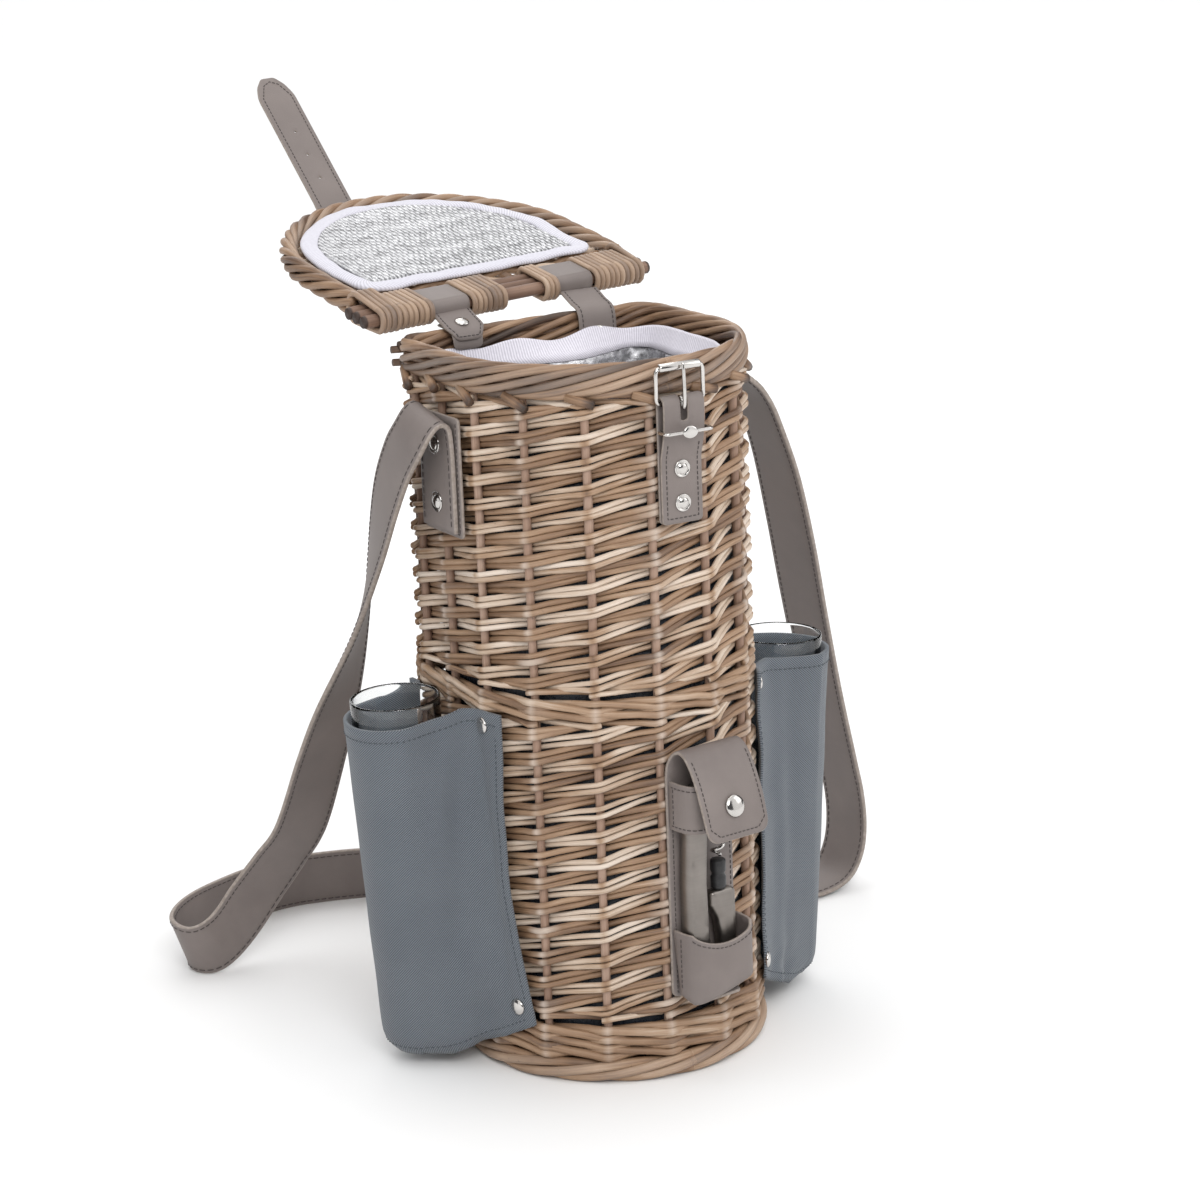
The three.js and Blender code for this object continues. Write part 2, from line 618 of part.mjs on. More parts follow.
function buildLid(lid) {
  const hoopIn = LID_R - LID_HOOP_WIDTH;
  const hoopBack = WRAP_FRONT - GAP;
  const bevel = 3;
  const outline = [
    ...arc(0, LID_CENTRE, LID_R - bevel, Math.PI, 2 * Math.PI, ROUND),
    point(LID_R - bevel, hoopBack - bevel),
    point(hoopIn + bevel, hoopBack - bevel),
    ...arc(0, LID_CENTRE, hoopIn + bevel, 2 * Math.PI, Math.PI, ROUND),
    point(-hoopIn - bevel, hoopBack - bevel),
    point(-LID_R + bevel, hoopBack - bevel),
  ];
  const hoop = new THREE.ExtrudeGeometry(new THREE.Shape(outline), {
    depth: LID_HOOP - 2 * bevel,
    bevelThickness: bevel,
    bevelSize: bevel,
    bevelSegments: 1,
  });
  hoop.translate(LID_SHIFT, 0, LID_Z - LID_HOOP / 2 + bevel);
  const rivetHoles = closingRivets.map((r) => rivetHole(r.at, r.out, r.shank + GAP));
  add("lid_hoop", cut(hoop, ...rivetHoles), brownWicker, lid);

  // The panel, and the weaver wound round the bars between the hinges
  const panelR = hoopIn - GAP;
  const half = LID_PLATE / 2;
  const wrapBack = 2 * BARS_Y - WRAP_FRONT;
  const wrapHalf = BAR_R + GAP + WRAP;
  const wrapRound = roundedRectangle(
    WRAP_FRONT,
    LID_Z - wrapHalf,
    wrapBack,
    LID_Z + wrapHalf,
    BAR_R + GAP,
    2,
  );
  const wraps = [
    [-BAR_LENGTH / 2 + 3, -HINGE_X - LOOP_ROOM],
    [-HINGE_X + LOOP_ROOM, -6],
    [20, HINGE_X - LOOP_ROOM],
    [HINGE_X + LOOP_ROOM, BAR_LENGTH / 2 - 5],
  ].map(([x0, x1]) => sideProfile(wrapRound, x0, x1));
  const panelBack = BARS_Y - BARS_HALF - GAP;
  const panel = prism(lidPlan(panelR, panelBack, 2), LID_Z - half, LID_Z + half);
  const barRoom = box(
    -BAR_LENGTH,
    BAR_LENGTH,
    panelBack,
    2 * BARS_Y - panelBack,
    LID_Z - BAR_R - GAP,
    LID_Z + BAR_R + GAP,
  );
  const loopNotches = [-HINGE_X, HINGE_X].map((x) =>
    box(x - LOOP_ROOM, x + LOOP_ROOM, panelBack - LEATHER - 2 * GAP, BACK_Y, LID_Z - 9, LID_Z + 9),
  );
  add("lid_weave", cut(join(panel, ...wraps), barRoom, ...loopNotches), paleWicker, lid);

  for (const [name, step] of [["inner", -1], ["middle", 0], ["outer", 1]]) {
    const y = BARS_Y + step * BAR_PITCH;
    const rod = crossRod(y, LID_Z, BAR_R, -BAR_LENGTH / 2, BAR_LENGTH / 2, 8);
    add(`lid_bar_${name}`, rod, brownWicker, lid);
  }

  // Quilted pad and its binding, on the inner face
  const padTop = LID_Z - half - GAP;
  const bindingIn = PAD_HALF_WIDTH - BINDING_WIDTH;
  const rim = lidPlan(PAD_HALF_WIDTH, PAD_BACK, 14, 0);
  const window = lidPlan(bindingIn, PAD_BACK - BINDING_WIDTH, 6, 0);
  const quilt = lidPlan(bindingIn - GAP, PAD_BACK - BINDING_WIDTH - GAP, 6 - GAP, 0);
  add("lid_pad_binding", prism(rim, padTop - PAD_THICK, padTop, [window]), lining, lid);
  add("lid_pad", prism(quilt, padTop - PAD_THICK + PAD_SUNK, padTop), foil, lid);

  // Hinge loops
  const inY = BARS_HALF + GAP;
  const inZ = BAR_R + GAP;
  const around = (g) =>
    roundedRectangle(BARS_Y - inY - g, LID_Z - inZ - g, BARS_Y + inY + g, LID_Z + inZ + g, 1.5 + g, 2);
  for (const [side, x] of [["left", -HINGE_X], ["right", HINGE_X]]) {
    const halfWidth = HINGE_WIDTH / 2;
    const loop = sideProfile(around(LEATHER), x - halfWidth, x + halfWidth, [around(0)]);
    add(`hinge_loop_${side}`, loop, leather, lid);
  }
}

// Closing strap, riveted to the lid's front edge and drawn with the lid closed
const closingSeat = LID_Z + LID_HOOP / 2 + GAP;
const closingPivot = new THREE.Vector3(CLOSING_X, LID_CENTRE - LID_R - 2.5, closingSeat + CLOSING_THICK / 2);
const closingRivets = [-7, 7].map((x) => ({
  at: new THREE.Vector3(CLOSING_X + x, LID_CENTRE - LID_R + 6, closingSeat + CLOSING_THICK + GAP),
  out: Z,
  shank: 10,
}));

function buildClosingStrap(lid) {
  const half = CLOSING_WIDTH / 2;
  const front = closingPivot.y + CLOSING_THICK / 2 + GAP;
  const base = box(-half, half, front, front + CLOSING_BASE, closingSeat, closingSeat + CLOSING_THICK);
  base.translate(CLOSING_X, 0, 0);
  const rivetHoles = closingRivets.map((r) => rivetHole(r.at, r.out, r.shank));
  add("lid_strap_base", cut(base, ...rivetHoles), leather, lid);
  closingRivets.forEach((r, i) => {
    add(`lid_strap_rivet_${i + 1}`, rivet(r.at, r.out, 4.5, 1.6, r.shank), nickel, lid);
  });

  // Drawn lying forwards from the pivot, then bent down
  const tip = -CLOSING_LENGTH;
  const shoulder = tip + CLOSING_POINT;
  const r = CLOSING_THICK / 2;
  const holes = CLOSING_HOLES.map((d) => arc(0, tip + d, CLOSING_HOLE_R, 2 * Math.PI, 0.26, 11));
  const outline = [
    point(-half, 0),
    point(-half, shoulder),
    point(-half * 0.55, tip + CLOSING_POINT * 0.3),
    point(0, tip),
    point(half * 0.55, tip + CLOSING_POINT * 0.3),
    point(half, shoulder),
    point(half, 0),
  ];
  const flat = prism(outline, -r, r, holes);
  const edge = crossRod(0, 0, r, -half, half, 12);
  const strap = add("lid_strap", join(flat, edge), leather, lid);
  strap.position.copy(closingPivot);
  strap.rotation.x = rad(CLOSING_BEND);
}

// Buckle, its tab and keeper
function buildBuckle() {
  const back = frontFace - GAP;
  const inR = LEATHER + FOLD_ROOM;
  const outR = inR + LEATHER;
  const cy = back - outR;
  const half = TAB_WIDTH / 2;
  const outline = [
    point(back, TAB_BOTTOM),
    ...arc(cy, BAR_HEIGHT, outR, 0, Math.PI, 8),
    point(cy - outR, TAB_PINCH + 10),
    point(tabFace, TAB_PINCH),
    point(tabFace, TAB_BOTTOM),
  ];
  const fold = [
    ...arc(cy, BAR_HEIGHT, inR, 0, Math.PI, 8),
    point(cy - inR, TAB_PINCH + 11),
    point(back - LEATHER - 0.1, TAB_PINCH + 2),
  ];
  const slotHalf = PRONG_WIDTH / 2 + 0.6;
  const slotLow = BAR_HEIGHT - PRONG_SLOT;
  const slot = box(-slotHalf, slotHalf, cy - 2 * outR, back + 1, slotLow, BAR_HEIGHT + outR + 1);
  const tab = sideProfile(outline, -half, half, [fold]);
  add("buckle_tab", cut(tab, slot, ...holesFor(tabRivets)), leather);
  ["lower", "upper"].forEach((level, i) => {
    const r = tabRivets[i];
    add(`tab_rivet_${level}`, rivet(r.at, r.out, TAB_RIVET_R, 1.8, r.shank), nickel);
  });

  // Frame: its lower side is the bar held in the fold, its upper side carries the roller
  const wire = BUCKLE_WIRE / 2;
  const inX = half + 0.4;
  const outX = inX + BUCKLE_WIRE;
  const top = BAR_HEIGHT + BUCKLE_REACH;
  const window = rectangle(-inX, BAR_HEIGHT + wire, inX, top - wire);
  const frame = roundedRectangle(-outX, BAR_HEIGHT - wire, outX, top + wire, 1.2, 2);
  add("buckle_frame", frontPlate(frame, cy + wire, cy - wire, [window]), nickel);

  const turning = wire * Math.SQRT2 + 0.2; // a square bar turns inside this radius
  const ring = (y, z, r) => arc(y, z, r, 0, 2 * Math.PI * (11 / 12), 11);
  const rollerR = turning + ROLLER_WALL;
  const rollerHalf = inX - GAP;
  const roller = sideProfile(ring(cy, top, rollerR / Math.cos(Math.PI / 12)), -rollerHalf, rollerHalf, [
    ring(cy, top, turning / Math.cos(Math.PI / 12)),
  ]);
  add("buckle_roller", roller, nickel);

  const prongHalf = PRONG_WIDTH / 2;
  const eyeR = turning + 1.2;
  const armIn = cy - rollerR - 2 * GAP;
  const armOut = armIn - 2;
  const arm = [
    point(cy - eyeR + 0.3, BAR_HEIGHT - 1.5),
    point(armOut, BAR_HEIGHT),
    point(armOut, top + 3),
    point(armIn, top + rollerR),
    point(armIn, BAR_HEIGHT + 7),
    point(cy - eyeR + 0.3, BAR_HEIGHT + 2.5),
  ].reverse();
  const eye = sideProfile(ring(cy, BAR_HEIGHT, eyeR), -prongHalf, prongHalf);
  const bore = sideProfile(ring(cy, BAR_HEIGHT, turning / Math.cos(Math.PI / 12)), -9, 9);
  const prong = join(eye, sideProfile(arm, -prongHalf, prongHalf));
  add("buckle_prong", cut(prong, bore), nickel);

  // Keeper: its back leg runs between the two layers of the tab
  const k = KEEPER_WIRE / 2;
  const keepIn = half + 0.7;
  const keepFront = cy - outR - CLOSING_THICK - 1;
  const loop = prism(
    rectangle(-keepIn - 2 * k, keepFront - 2 * k, keepIn + 2 * k, cy + k),
    KEEPER_HEIGHT - k,
    KEEPER_HEIGHT + k,
    [rectangle(-keepIn, keepFront, keepIn, cy - k)],
  );
  const oval = Array.from({ length: 16 }, (_, i) => {
    const angle = (i / 16) * 2 * Math.PI;
    return point(8 * Math.cos(angle), KEEPER_HEIGHT + 3.6 * Math.sin(angle));
  });
  const plate = frontPlate(oval, keepFront - k, keepFront - 2 * k - 0.8);
  add("buckle_keeper", join(loop, plate), nickel);
}

// The shoulder strap hangs from both sides and lies on the floor behind the basket.
// Each row is the strap's middle, then the direction across it, towards the edge that starts at the front.
const hangingRows = [
  [-104, 24, 356, -0.02, -1, 0],
  [-106, 34, 343, -0.06, -0.98, -0.15],
  [-107, 48, 321, -0.12, -0.97, -0.1],
  [-105, 66, 293, -0.25, -0.95, 0.05],
  [-101.5, 86, 265, -0.38, -0.9, 0.18],
  [-99.5, 105, 235, -0.49, -0.83, 0.26],
  [-100, 121, 208, -0.62, -0.7, 0.35],
  [-101, 138, 180, -0.74, -0.53, 0.42],
  [-103, 160, 141, -0.85, -0.33, 0.41],
  [-107, 186, 92, -0.83, -0.28, 0.48],
  [-115, 202, 68, -0.79, -0.22, 0.57],
  [-126, 212, 48, -0.75, -0.16, 0.64],
  [-143, 216, 26, -0.66, -0.1, 0.74],
  [-158, 213, 18.5, -0.55, -0.06, 0.83],
  [-169, 217, 16.5, -0.47, 0.02, 0.88],
  [-171, 229, 16.5, -0.42, 0.12, 0.9],
  [-163, 244, 17, -0.33, 0.1, 0.94],
  [-146, 260, 17.5, -0.2, 0.02, 0.98],
  [-122, 274, 18, -0.1, -0.08, 0.99],
  [-98, 283, 18, -0.02, -0.14, 0.99],
  [-72, 286, 18, 0, -0.17, 0.985],
  [-48, 281, 18, 0, -0.17, 0.985],
  [-24, 272, 18, 0, -0.2, 0.98],
  [6, 257, 17.5, -0.04, -0.28, 0.96],
  [38, 234, 16, -0.12, -0.42, 0.9],
  [68, 206, 12, -0.25, -0.6, 0.75],
  [97, 176, 8, -0.42, -0.76, 0.5],
  [125, 148, 4, -0.52, -0.82, 0.24],
  [155, 128, 2, -0.42, -0.9, 0.08],
  [185, 120, 2, -0.15, -0.98, 0.02],
  [212, 119, 2.5, 0, -1, 0],
  [231, 120, 8, 0.06, -1, 0],
  [241, 121, 22, 0.1, -0.99, 0],
  [243, 120, 42, 0.12, -0.99, 0],
  [238, 116, 66, 0.15, -0.98, -0.05],
  [229, 111, 92, 0.18, -0.97, -0.08],
  [209, 98, 145, 0.22, -0.96, -0.12],
  [187, 81, 204, 0.25, -0.94, -0.15],
  [166, 62, 255, 0.25, -0.94, -0.15],
  [145, 45, 303, 0.2, -0.95, -0.18],
  [124, 31, 340, 0.1, -0.97, -0.15],
  [111, 24, 357, 0.04, -1, -0.05],
];
const strapRise = ANCHOR_TOP / HANGING_TOP;
const strapRoute = [
  [-strapX, STRAP_Y, ANCHOR_LOW, 0, -1, 0],
  [-strapX, STRAP_Y, (ANCHOR_LOW + ANCHOR_TOP) / 2, 0, -1, 0],
  [-strapX, STRAP_Y, ANCHOR_TOP - 2, 0, -1, 0],
  [-strapX - 1.5, STRAP_Y, ANCHOR_TOP + 4.5, 0, -1, 0],
  [-strapX - 6.2, STRAP_Y, ANCHOR_TOP + 6.5, 0, -1, 0],
  [-strapX - 11, STRAP_Y + 0.6, ANCHOR_TOP + 2.5, 0, -1, 0],
  ...hangingRows.map(([x, y, z, ...across]) => [x, y, z * strapRise, ...across]),
  [strapX + 12, STRAP_Y + 0.6, ANCHOR_TOP + 3, 0, -1, 0],
  [strapX + 6.2, STRAP_Y, ANCHOR_TOP + 6.5, 0, -1, 0],
  [strapX + 1.5, STRAP_Y, ANCHOR_TOP + 4.5, 0, -1, 0],
  [strapX, STRAP_Y, ANCHOR_TOP - 2, 0, -1, 0],
  [strapX, STRAP_Y, (ANCHOR_LOW + ANCHOR_TOP) / 2, 0, -1, 0],
  [strapX, STRAP_Y, ANCHOR_LOW, 0, -1, 0],
];

// A flat band of even section along a route, kept above the floor
function bandAlong(route, width, thickness, steps) {
  const middles = new THREE.CatmullRomCurve3(route.map((r) => new THREE.Vector3(r[0], r[1], r[2])));
  const acrosses = new THREE.CatmullRomCurve3(route.map((r) => new THREE.Vector3(r[3], r[4], r[5])));
  middles.curveType = "catmullrom";
  acrosses.curveType = "catmullrom";
  const count = (route.length - 1) * steps;
  const corners = [];
  for (let i = 0; i <= count; i += 1) {
    const middle = middles.getPoint(i / count);
    const along = middles.getTangent(i / count);
    const normal = new THREE.Vector3().crossVectors(along, acrosses.getPoint(i / count)).normalize();
    const across = new THREE.Vector3().crossVectors(normal, along).normalize();
    const reach = (Math.abs(across.z) * width + Math.abs(normal.z) * thickness) / 2;
    middle.z = Math.max(middle.z, reach + GAP);
    for (const [w, t] of [[-1, -1], [1, -1], [1, 1], [-1, 1]]) {
      const corner = middle.clone().addScaledVector(across, (w * width) / 2);
      corners.push(corner.addScaledVector(normal, (t * thickness) / 2));
    }
  }
  const faces = [0, 2, 1, 0, 3, 2];
  for (let i = 0; i < count; i += 1) {
    for (let side = 0; side < 4; side += 1) {
      const a = i * 4 + side;
      const b = i * 4 + ((side + 1) % 4);
      faces.push(a, b, b + 4, a, b + 4, a + 4);
    }
  }
  const last = count * 4;
  faces.push(last, last + 1, last + 2, last, last + 2, last + 3);
  const geometry = new THREE.BufferGeometry().setFromPoints(corners);
  geometry.setIndex(faces);
  return geometry;
}

function buildShoulderStrap() {
  const rivetHoles = holesFor(strapRivets.flat());
  add("shoulder_strap", cut(bandAlong(strapRoute, STRAP_WIDTH, STRAP_THICK, 1), ...rivetHoles), leather);
  const half = STRAP_WIDTH / 2 + PATCH_MARGIN;
  [-1, 1].forEach((side, i) => {
    const name = side < 0 ? "left" : "right";
    const x0 = side * (FRONT_R + GAP);
    const x1 = side * patchX;
    const patch = box(
      Math.min(x0, x1),
      Math.max(x0, x1),
      STRAP_Y - half,
      STRAP_Y + half,
      ANCHOR_LOW - PATCH_MARGIN,
      ANCHOR_TOP + 2 * PATCH_MARGIN,
    );
    add(`strap_patch_${name}`, cut(patch, ...holesFor(strapRivets[i])), leather);
    strapRivets[i].forEach((r, level) => {
      const where = `strap_rivet_${name}_${level ? "upper" : "lower"}`;
      add(where, rivet(r.at, r.out, STRAP_RIVET_R, 2, r.shank), nickel);
    });
  });
}

// Glass pockets: a leaning tapered sleeve of cloth with a flange each way along the wall
const pocketHeight = POCKET_HIGH - POCKET_LOW;
function pocketCloth(name, lean) {
  const grow = POCKET_SLACK + POCKET_WALL;
  const sleeve = lean(upright(0, 0, GLASS_BASE_R + grow, GLASS_TOP_R + grow, 0, pocketHeight));
  const roomTop = GLASS_TOP_R + POCKET_SLACK + 1;
  const room = upright(0, 0, GLASS_BASE_R + POCKET_SLACK, roomTop, POCKET_WALL, pocketHeight + 34);
  const middle = POCKET_Y[name];
  const middleR = FRONT_R + GAP + POCKET_WALL / 2;
  const [start, edge, corner] = FLANGE_RUNS;
  const steps = 6;
  const frontLine = [
    point(-POCKET_BASE_X - 4, middle - GLASS_BASE_R + 3),
    ...Array.from({ length: steps + 1 }, (_, i) =>
      onWall(name, start + ((corner - start) * i) / steps, middleR),
    ),
  ];
  const [backStart, backEdge] = FLANGE_BACK_RUNS;
  const backLine = [
    point(-POCKET_BASE_X - 4, middle + GLASS_BASE_R - 3),
    point(-middleR - 1, middle + backStart),
    point(-middleR, middle + backStart + 3),
    point(-middleR, middle + backEdge),
  ];
  const flanges = [frontLine, backLine].map((line) =>
    prism(strip(line, POCKET_WALL), FLANGE_LOW, POCKET_HIGH),
  );
  const edgeY = onWall(name, edge, middleR).y;
  const cornerY = onWall(name, corner, middleR).y - POCKET_WALL;
  const beyond = [
    point(edgeY, POCKET_HIGH + 1),
    point(edgeY - 1, FLANGE_FLARE_TOP),
    point(cornerY, FLANGE_LOW + 6),
    point(-2 * FRONT_R, FLANGE_LOW + 6),
    point(-2 * FRONT_R, POCKET_HIGH + 1),
  ];
  return cut(join(sleeve, ...flanges), lean(room), sideProfile(beyond, -2 * FRONT_R, 0));
}

// The glass stands on the pocket's floor
function tumbler() {
  const glassHigh = pocketHeight + GLASS_SHOWS;
  const low = POCKET_WALL + GAP;
  const profile = [
    point(0, low),
    point(GLASS_BASE_R, low),
    point(GLASS_TOP_R, glassHigh),
    point(GLASS_TOP_R - GLASS_WALL, glassHigh),
    point(GLASS_BASE_R - GLASS_WALL, low + GLASS_FLOOR),
    point(0, low + GLASS_FLOOR),
  ];
  return new THREE.LatheGeometry(profile, 24).rotateX(Math.PI / 2);
}

function buildPockets() {
  ["left", "right"].forEach((name, i) => {
    const own = (g) => (name === "left" ? g : mirrored(g));
    const lean = (g) => g.rotateY(-rad(POCKET_LEAN)).translate(-POCKET_BASE_X, POCKET_Y[name], POCKET_LOW);
    add(`pocket_${name}`, cut(own(pocketCloth(name, lean)), ...holesFor(pocketRivets[i])), canvas);
    add(`glass_${name}`, own(lean(tumbler())), clearGlass);
    pocketRivets[i].forEach((r, level) => {
      const where = `pocket_rivet_${name}_${level ? "upper" : "lower"}`;
      add(where, rivet(r.at, r.out, POCKET_RIVET_R, 1.6, r.shank), nickel);
    });
  });
}

// Corkscrew holder, drawn at the front middle about the centre of the round front and then turned
function buildHolder() {
  const holder = new THREE.Group();
  holder.position.y = FRONT_Y;
  holder.rotation.z = rad(HOLDER_TURN);
  carrier.add(holder);

  const half = HOLDER_WIDTH / 2;
  const backIn = FRONT_R + GAP;
  const backOut = backIn + HOLDER_LEATHER;
  const spread = Math.asin(half / backOut);
  const down = -Math.PI / 2;
  const backPlan = [
    ...arc(0, 0, backOut, down - spread, down + spread, 6),
    ...arc(0, 0, backIn, down + spread, down - spread, 6),
  ];
  const flapHalf = FLAP_WIDTH / 2;
  const thin = HOLDER_LEATHER / 2;
  const rootY = -backIn - thin;
  const crest = point(rootY - FLAP_CREST_OUT, HOLDER_HIGH + FLAP_CREST_UP);
  const tongue = [
    point(rootY, HOLDER_HIGH - 6),
    point(rootY, HOLDER_HIGH + 1.5),
    point(rootY - 1.8, HOLDER_HIGH + 5),
    point(crest.x + thin + GAP, crest.y),
  ];
  const tongueStrip = sideProfile(strip(tongue, HOLDER_LEATHER), -flapHalf, flapHalf);
  add("holder_back", join(prism(backPlan, HOLDER_LOW, HOLDER_HIGH), tongueStrip), leather, holder);

  // Band and bottom pocket: the same bent strip across the front
  const frontY = -FRONT_R - HOLDER_DEPTH;
  const legX = half - HOLDER_LEATHER / 2;
  const legY = -Math.sqrt((backOut + GAP) ** 2 - (legX - HOLDER_LEATHER) ** 2);
  const bent = [
    point(-legX, legY),
    point(-legX, frontY + 6),
    point(-legX + 4, frontY + 1.1),
    point(legX - 4, frontY + 1.1),
    point(legX, frontY + 6),
    point(legX, legY),
  ];
  const loop = strip(bent, HOLDER_LEATHER);
  add("holder_band", prism(loop, BAND_LOW, BAND_HIGH), leather, holder);

  const floorPlan = rectangle(-legX, frontY + 1.5, legX, -backOut - GAP);
  const floor = prism(floorPlan, HOLDER_LOW, HOLDER_LOW + HOLDER_LEATHER);
  const scoopR = 30;
  const scoopPlan = arc(0, HOLDER_POCKET_HIGH + scoopR - 7, scoopR, 0, 2 * Math.PI * (23 / 24), 23);
  const scoop = frontPlate(scoopPlan, frontY + 8, frontY - 5);
  const shell = prism(loop, HOLDER_LOW, HOLDER_POCKET_HIGH);
  add("holder_pocket", cut(join(shell, floor), scoop), leather, holder);

  // Flap, standing half open, with a round edge where it turns
  const flapLine = [crest, ...FLAP_LINE.map(([out, down]) => point(rootY - out, crest.y - down))];
  const [above, end] = flapLine.slice(-2);
  const edge = crossRod(crest.x, crest.y, thin, -flapHalf, flapHalf, 12);
  const bentFlap = join(sideProfile(strip(flapLine, HOLDER_LEATHER), -flapHalf, flapHalf), edge);
  const flapFront = roundedRectangle(-flapHalf, end.y - 1, flapHalf, crest.y + 30, FLAP_CORNER);
  const flap = meet(bentFlap, frontPlate(flapFront, 0, -2 * FRONT_R));
  const slope = point(above.x - end.x, above.y - end.y).normalize();
  const snapZ = crest.y - SNAP_BELOW_CREST;
  const snapY = above.x - ((above.y - snapZ) * slope.x) / slope.y;
  const snapOut = new THREE.Vector3(0, -slope.y, slope.x);
  const snapAt = new THREE.Vector3(0, snapY, snapZ).addScaledVector(snapOut, thin + GAP);
  const snapShank = HOLDER_LEATHER + 1;
  const flapHole = rivetHole(snapAt, snapOut, snapShank + 2);
  add("holder_flap", cut(flap, flapHole), leather, holder);
  add("snap_cap", rivet(snapAt, snapOut, SNAP_R, 2, snapShank), nickel, holder);

  // Waiter's corkscrew, folded, standing on the pocket's floor
  const toolBack = -backOut - 0.5;
  const foot = HOLDER_LOW + HOLDER_LEATHER + GAP;
  const toolLength = HOLDER_HIGH - TOOL_DROP - foot;
  const toolOutline = (rows) => rows.map(([x, share]) => point(x, foot + share * toolLength));
  const handle = toolOutline(HANDLE_LINE);
  add("corkscrew_handle", frontPlate(handle, toolBack, toolBack - TOOL_DEPTH), toolSteel, holder);
  const lever = toolOutline(LEVER_LINE);
  add("corkscrew_lever", frontPlate(lever, toolBack - 2, toolBack - TOOL_DEPTH + 2), toolSteel, holder);
  const hubY = toolBack - TOOL_DEPTH / 2;
  const leverHigh = foot + LEVER_TOP * toolLength;
  const hubHigh = leverHigh + HUB_LENGTH;
  const hub = upright(HUB_X, hubY, HUB_R, HUB_R, leverHigh + GAP, hubHigh, 12);
  add("corkscrew_hub", hub, blackPlastic, holder);

  // The worm is one unbroken helix
  const wormLow = hubHigh + GAP + WORM_WIRE;
  const turnsRoute = Array.from({ length: WORM_TURNS * 8 + 1 }, (_, i) => {
    const angle = (i / 8) * 2 * Math.PI;
    const z = wormLow + (WORM_PITCH * i) / 8;
    return new THREE.Vector3(HUB_X + WORM_R * Math.cos(angle), hubY + WORM_R * Math.sin(angle), z);
  });
  const wire = new THREE.Shape(arc(0, 0, WORM_WIRE, 0, 2 * Math.PI * (4 / 5), 4));
  const worm = new THREE.ExtrudeGeometry(wire, {
    steps: turnsRoute.length - 1,
    extrudePath: new THREE.CatmullRomCurve3(turnsRoute),
    bevelEnabled: false,
  });
  add("corkscrew_worm", worm, nickel, holder);
}

buildBasket();
buildRim();
buildLiner();
const lidGroup = openedLid();
buildLid(lidGroup);
buildClosingStrap(lidGroup);
buildBuckle();
buildShoulderStrap();
buildPockets();
buildHolder();

export default carrier;
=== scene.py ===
import math

import bmesh
import bpy
import numpy as np
from mathutils import Matrix, Vector
from mathutils.geometry import delaunay_2d_cdt


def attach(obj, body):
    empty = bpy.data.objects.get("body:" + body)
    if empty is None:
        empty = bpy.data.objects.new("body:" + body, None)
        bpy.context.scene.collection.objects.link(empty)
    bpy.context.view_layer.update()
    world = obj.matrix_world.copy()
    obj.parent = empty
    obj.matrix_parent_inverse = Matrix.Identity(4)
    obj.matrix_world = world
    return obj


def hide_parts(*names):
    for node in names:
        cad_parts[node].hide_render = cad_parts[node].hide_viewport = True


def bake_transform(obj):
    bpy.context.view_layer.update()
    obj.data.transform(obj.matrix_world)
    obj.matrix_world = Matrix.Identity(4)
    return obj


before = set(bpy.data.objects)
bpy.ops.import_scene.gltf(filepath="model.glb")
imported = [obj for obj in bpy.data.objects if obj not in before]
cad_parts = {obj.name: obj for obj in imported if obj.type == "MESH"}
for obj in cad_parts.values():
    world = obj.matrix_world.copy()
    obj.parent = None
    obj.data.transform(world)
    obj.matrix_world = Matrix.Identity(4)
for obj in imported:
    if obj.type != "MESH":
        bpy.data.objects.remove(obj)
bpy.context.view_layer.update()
rng = np.random.default_rng(7)

# Sizes of the basket, in millimetres, as in the CAD
FRONT_R = 85
FRONT_Y = 5
BACK_Y = 80
WALL = 10
BACK_CORNER = 14
GAP = 0.3
FOOT_TOP = 13
UPSETT_TOP = 35
LOWER_TOP = 207
MID_TOP = 221
BORDER_LOW = 382
RIM = 402

# The weave: a course's height, a rod's reach either side of the wall's middle line, stakes and corner posts
COURSE = 13.9
WEAVE_REACH = 3.55
STAKE_SPACING = 33.9
STAKE_R = 2.4
POST_R = 5.3
POST_X = 73.5
POST_Y = 68.5
POST_OUTSIDE = 3.2
POST_INSIDE = -10.2

# The lid, drawn closed, and its hinge
LID_Z = 411.6
LID_R = 94
LID_MIDDLE = (3, 8)
PANEL_HALF = 3.5
LID_OPEN = 169
LID_SKEW = 2.3
LID_ROLL = 0.7
HINGE_Y = 88
HINGE_X = 42
BARS_Y = 75.5
BAR_R = 3.7
BAR_PITCH = 7.7

# Thickness of the leather, and the shoulder strap's width
TAB_THICK = 1.75
STRAP_THICK = 2.1
HOLDER_THICK = 2.15
CARRY_WIDE = 36
CARRY_THICK = 2.9

RIGHT = np.array([1.0, 0.0, 0.0])
UP = np.array([0.0, 0.0, 1.0])


def unit(v):
    v = np.asarray(v, float)
    return v / np.maximum(np.linalg.norm(v, axis=-1, keepdims=True), 1e-12)


# Camera at the photograph's angle: degrees, metres, and the lens in millimetres
AZIMUTH = -30.358
ELEVATION = 15.298
ROLL = 2.19
DISTANCE = 1.7817
TARGET_SIDE = -0.0027
TARGET_HEIGHT = 0.2537
LENS = 96.69


